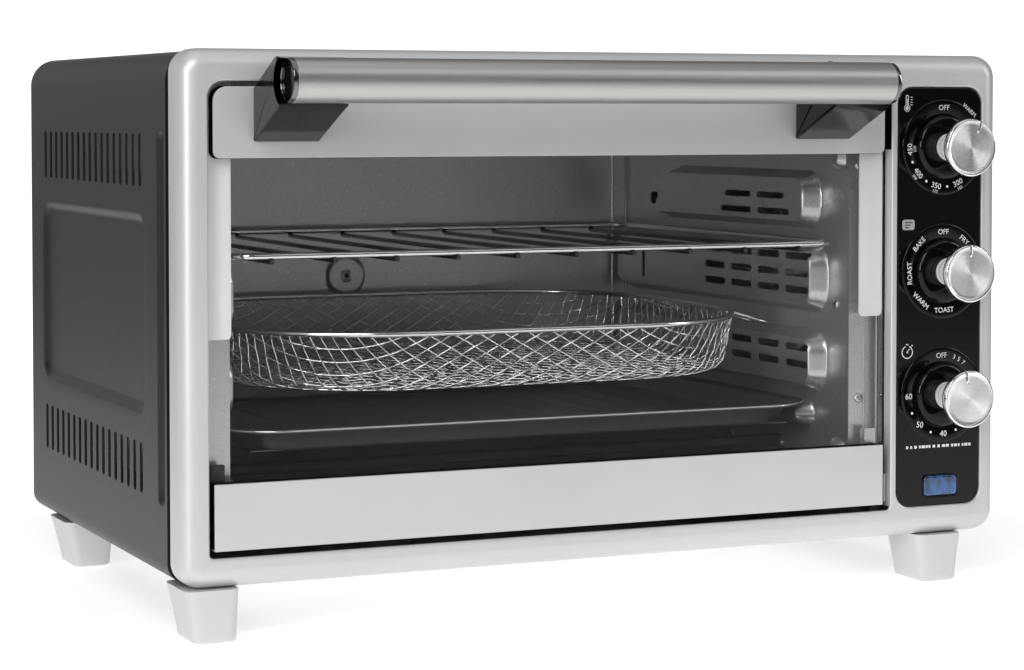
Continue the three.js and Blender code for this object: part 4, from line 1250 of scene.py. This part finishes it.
# ------------------------------------------------------------------ baking pan and crumb tray
def build_pan():
    box = plan_box("baking_pan")
    lo, hi = box_mm("baking_pan")
    z0, z1 = lo.z, hi.z
    # inset, height and corner radius from the rolled rim over the ledge and down to the bottom
    profile = [(1.5, z1 - 1.9, 32), (0.5, z1 - 1.6, 33), (0.05, z1 - 0.9, 33.5), (0.4, z1 - 0.25, 33),
               (1.2, z1, 32.5), (2.2, z1 - 0.15, 32), (3.0, z1 - 0.55, 31.5), (7.8, z1 - 0.7, 29),
               (8.8, z1 - 1.1, 28.4), (9.6, z1 - 2.4, 27.8), (12.6, z0 + 3.0, 25), (13.6, z0 + 1.6, 24),
               (15.2, z0 + 0.9, 22.5), (18, z0 + 0.7, 20)]
    rings = [ring_z(z, box, d, r, 10) for d, z, r in profile + [(18, z0 + 0.05, 20)]]
    rings += [ring_z(z - 0.7, box, d, r, 10) for d, z, r in reversed(profile[6:-1])]
    v, f = skin(rings, closed=True)
    n, top = len(rings[0]), len(profile) - 1
    f = [face for face in f if not (face[0] // n == top and face[2] // n == top + 1)]
    make("baking_pan_rim", (v, f), pan_steel, "pan", replaces=("baking_pan",), sharp=60)
    bead = ring_z(z1 - 0.45, box, 0.75, 33, 10)
    make("baking_pan_bead", tube_mesh([bead + bead[:1]], 0.6, 10), wire_metal, "pan", slot="pan_steel",
         sharp=60)
    x0, x1, y0, y1 = lo.x + 16, hi.x - 16, lo.y + 16, hi.y - 16

    def place(x, y, d):
        edge = min(1.0, min(x - x0, x1 - x, y - y0, y1 - y) / 14)
        rib = 0.5 - 0.5 * math.cos(2 * math.pi * (x - x0) / 19.0)
        return x, y, z0 + 0.75 + 0.9 * smoothstep(edge) * rib ** 2 - d

    xs, ys = axis_lines(x0, x1, 1.9), axis_lines(y0, y1, 9)
    pressed_sheet("baking_pan_floor", xs, ys, place, [], [], 0.6, pan_steel, "pan")


def build_tray():
    lo, hi = box_mm("crumb_tray")
    profile = ((2.4, lo.z, 3), (0.6, hi.z - 0.4, 4), (0.5, hi.z, 4), (1.4, hi.z, 3.4), (1.6, hi.z - 0.4, 3.2),
               (3.4, lo.z + 1, 2.4))
    rings = [ring_z(z, plan_box("crumb_tray"), d, r, 6) for d, z, r in profile]
    make("crumb_tray_sheet", skin(rings), galvanised, "tray", replaces=("crumb_tray",), flat=True)


build_pan()
build_tray()


# ------------------------------------------------------------------ pieces that keep their CAD shape
repaint(("door_top_rail", "door_bottom_rail"), silver, 0.35)
repaint(("door_glass",), pane)
repaint(("door_hinge_leaf_left",), hinge_black, 0.3)
repaint(("door_hinge_leaf_right",), galvanised, 0.3)
repaint(("cavity_front_frame", "cavity_ceiling", "cavity_floor", "base_plate", "side_baffle",
         "control_bracket", "timer_body", "fan_impeller"), galvanised)
repaint(("rear_panel",), charcoal)
repaint(("indicator_lamp",), lamp_glass)
repaint(("thermostat_body", "function_switch_body", "fan_motor"), dark_plastic, 0.6)
repaint(("timer_bell",), brass)
repaint(("hinge_pin_left", "hinge_pin_right", "hinge_spring_left", "hinge_spring_right"), screw_steel)

for node, corners in (("door_top_rail", (3.5, 3.5, 7, 7)), ("door_bottom_rail", (2, 2, 2, 2))):
    # a near-black sheet behind the rail's bright face paints the shade in the gap round its folded edge
    lo, hi = box_mm(node)
    start, end = lo.y + 1.3, min(hi.y, lo.y + 9) - 0.3
    section = ((start, 0.3), (start, -0.25), (end, -0.25), (end, 0.3))
    rings = [ring_y(y, front_box(node), d, corners) for y, d in section]
    make(node + "_edge_shade", skin(rings, closed=True), gap_shade_black, "door", flat=True)

lo, hi = box_mm("cord_gland")
middle, end = ((lo.x + hi.x) / 2, 0, (lo.z + hi.z) / 2), hi.y
gland = [(0, lo.y), (10.5, lo.y), (10.5, end - 2.8), (7, end - 2.6), (7, end - 0.95), (10, end - 0.85),
         (10, end - 0.4), (9.2, end), (5.0, end), (4.6, end - 0.5), (0, end - 0.6)]
lathe("cord_gland_moulded", gland, "y", middle, dark_plastic, "oven", 48, replaces=("cord_gland",))


# ------------------------------------------------------------------ stage, light and camera
PHOTO_WAY = (0.407, 0.913, 0)                      # the photo's viewing direction in the floor plane
PHOTO_SIDE = (0.913, -0.407, 0)


def build_floor():
    """A pale floor that glows near the object and, widening with distance, behind it."""
    floor = surface("studio_floor", 0.90, 0.0, 0.6, flake=60, bump=0.01)
    at = floor.node("TexCoord", out="Object")
    near = floor.remap(floor.measure("LENGTH", at), 0.60, 0.0, 0.42, 1.25)
    along = floor.measure("DOT_PRODUCT", at, PHOTO_WAY)
    across = floor.calc("ABSOLUTE", floor.measure("DOT_PRODUCT", at, PHOTO_SIDE))
    within = floor.remap(floor.calc("MULTIPLY_ADD", along, -0.24, across), 1.0, 0.0, 0.38, 0.75)
    behind = floor.remap(along, 0.0, 1.1, 0.2, 1.3)
    glow = floor.calc("ADD", near, floor.calc("MULTIPLY", within, behind))
    floor.set(Emission_Color=(1, 1, 1, 1), Emission_Strength=glow)
    mesh = bpy.data.meshes.new("studio_floor")
    s = 30.0                                       # half its width in metres
    mesh.from_pydata([(-s, -s, 0), (s, -s, 0), (s, s, 0), (-s, s, 0)], [], [(0, 1, 2, 3)])
    ob = bpy.data.objects.new("studio_floor", mesh)
    ob.location.z = -0.0002
    mesh.materials.append(floor.m)
    bpy.context.scene.collection.objects.link(ob)


def build_world():
    """White surroundings: a bright lobe behind the object, a weak one overhead and one at its flank."""
    world = bpy.data.worlds.new("studio")
    bpy.context.scene.world = world
    world.use_nodes = True
    w = Nodes(world.node_tree)
    way = w.node("TexCoord", out="Generated")
    smooth = {"p_interpolation_type": "SMOOTHSTEP"}
    back = w.remap(w.measure("DOT_PRODUCT", way, PHOTO_WAY), 0.06, 1.3, 0.92, 0.972, **smooth)
    top = w.remap(w.node("SeparateXYZ", way, out="Z"), 0.0, 0.12, 0.15, 0.9, **smooth)
    flank = w.remap(w.measure("DOT_PRODUCT", way, (-0.407, 0.904, 0.13)), 0.0, 0.42, 0.80, 1.0, **smooth)
    background = w.tree.nodes["Background"]
    w.put(background.inputs["Strength"], w.calc("ADD", w.calc("ADD", back, top), flank))
    background.inputs["Color"].default_value = (1, 1, 1, 1)


def area(name, at, target, size, size_y, watts):
    """A rectangular light; its places and sizes are in metres."""
    light = bpy.data.lights.new(name, "AREA")
    light.shape, light.size, light.size_y, light.energy = "RECTANGLE", size, size_y, watts
    ob = bpy.data.objects.new(name, light)
    bpy.context.scene.collection.objects.link(ob)
    ob.location = at
    ob.rotation_euler = (Vector(target) - Vector(at)).to_track_quat("-Z", "Y").to_euler()


def build_camera():
    """The camera that was fitted to the photo."""
    cam = bpy.data.cameras.new("photo_camera")
    cam.lens, cam.sensor_width = 91.81, 36.0
    cam.shift_x, cam.shift_y = -0.0006, -0.12
    cam.clip_start = 0.01
    ob = bpy.data.objects.new("photo_camera", cam)
    bpy.context.scene.collection.objects.link(ob)
    ob.location = (-0.59676, -1.326375, 0.25774)
    ob.rotation_euler = (math.radians(90 - 2.201), 0, -0.4196)
    bpy.context.scene.camera = ob
    bpy.context.scene.view_settings.view_transform = "Standard"


build_floor()
build_world()
area("key_softbox", (-1.1, -1.7, 1.5), (0, 0, 0.15), 1.15, 1.15, 18)
area("low_strip", (-2.05, -1.6, 0.7), (0, 0, 0.15), 0.45, 1.0, 20)
area("right_strip", (1.5, -0.95, 0.75), (0.1, 0, 0.15), 0.35, 0.9, 5)
area("bar_softbox", (0.95, -1.45, 1.75), (0, 0, 0.25), 1.5, 0.8, 4)
area("overhead_softbox", (-0.1, -0.2, 2.2), (0, 0, 0.1), 2.0, 2.0, 7)
build_camera()
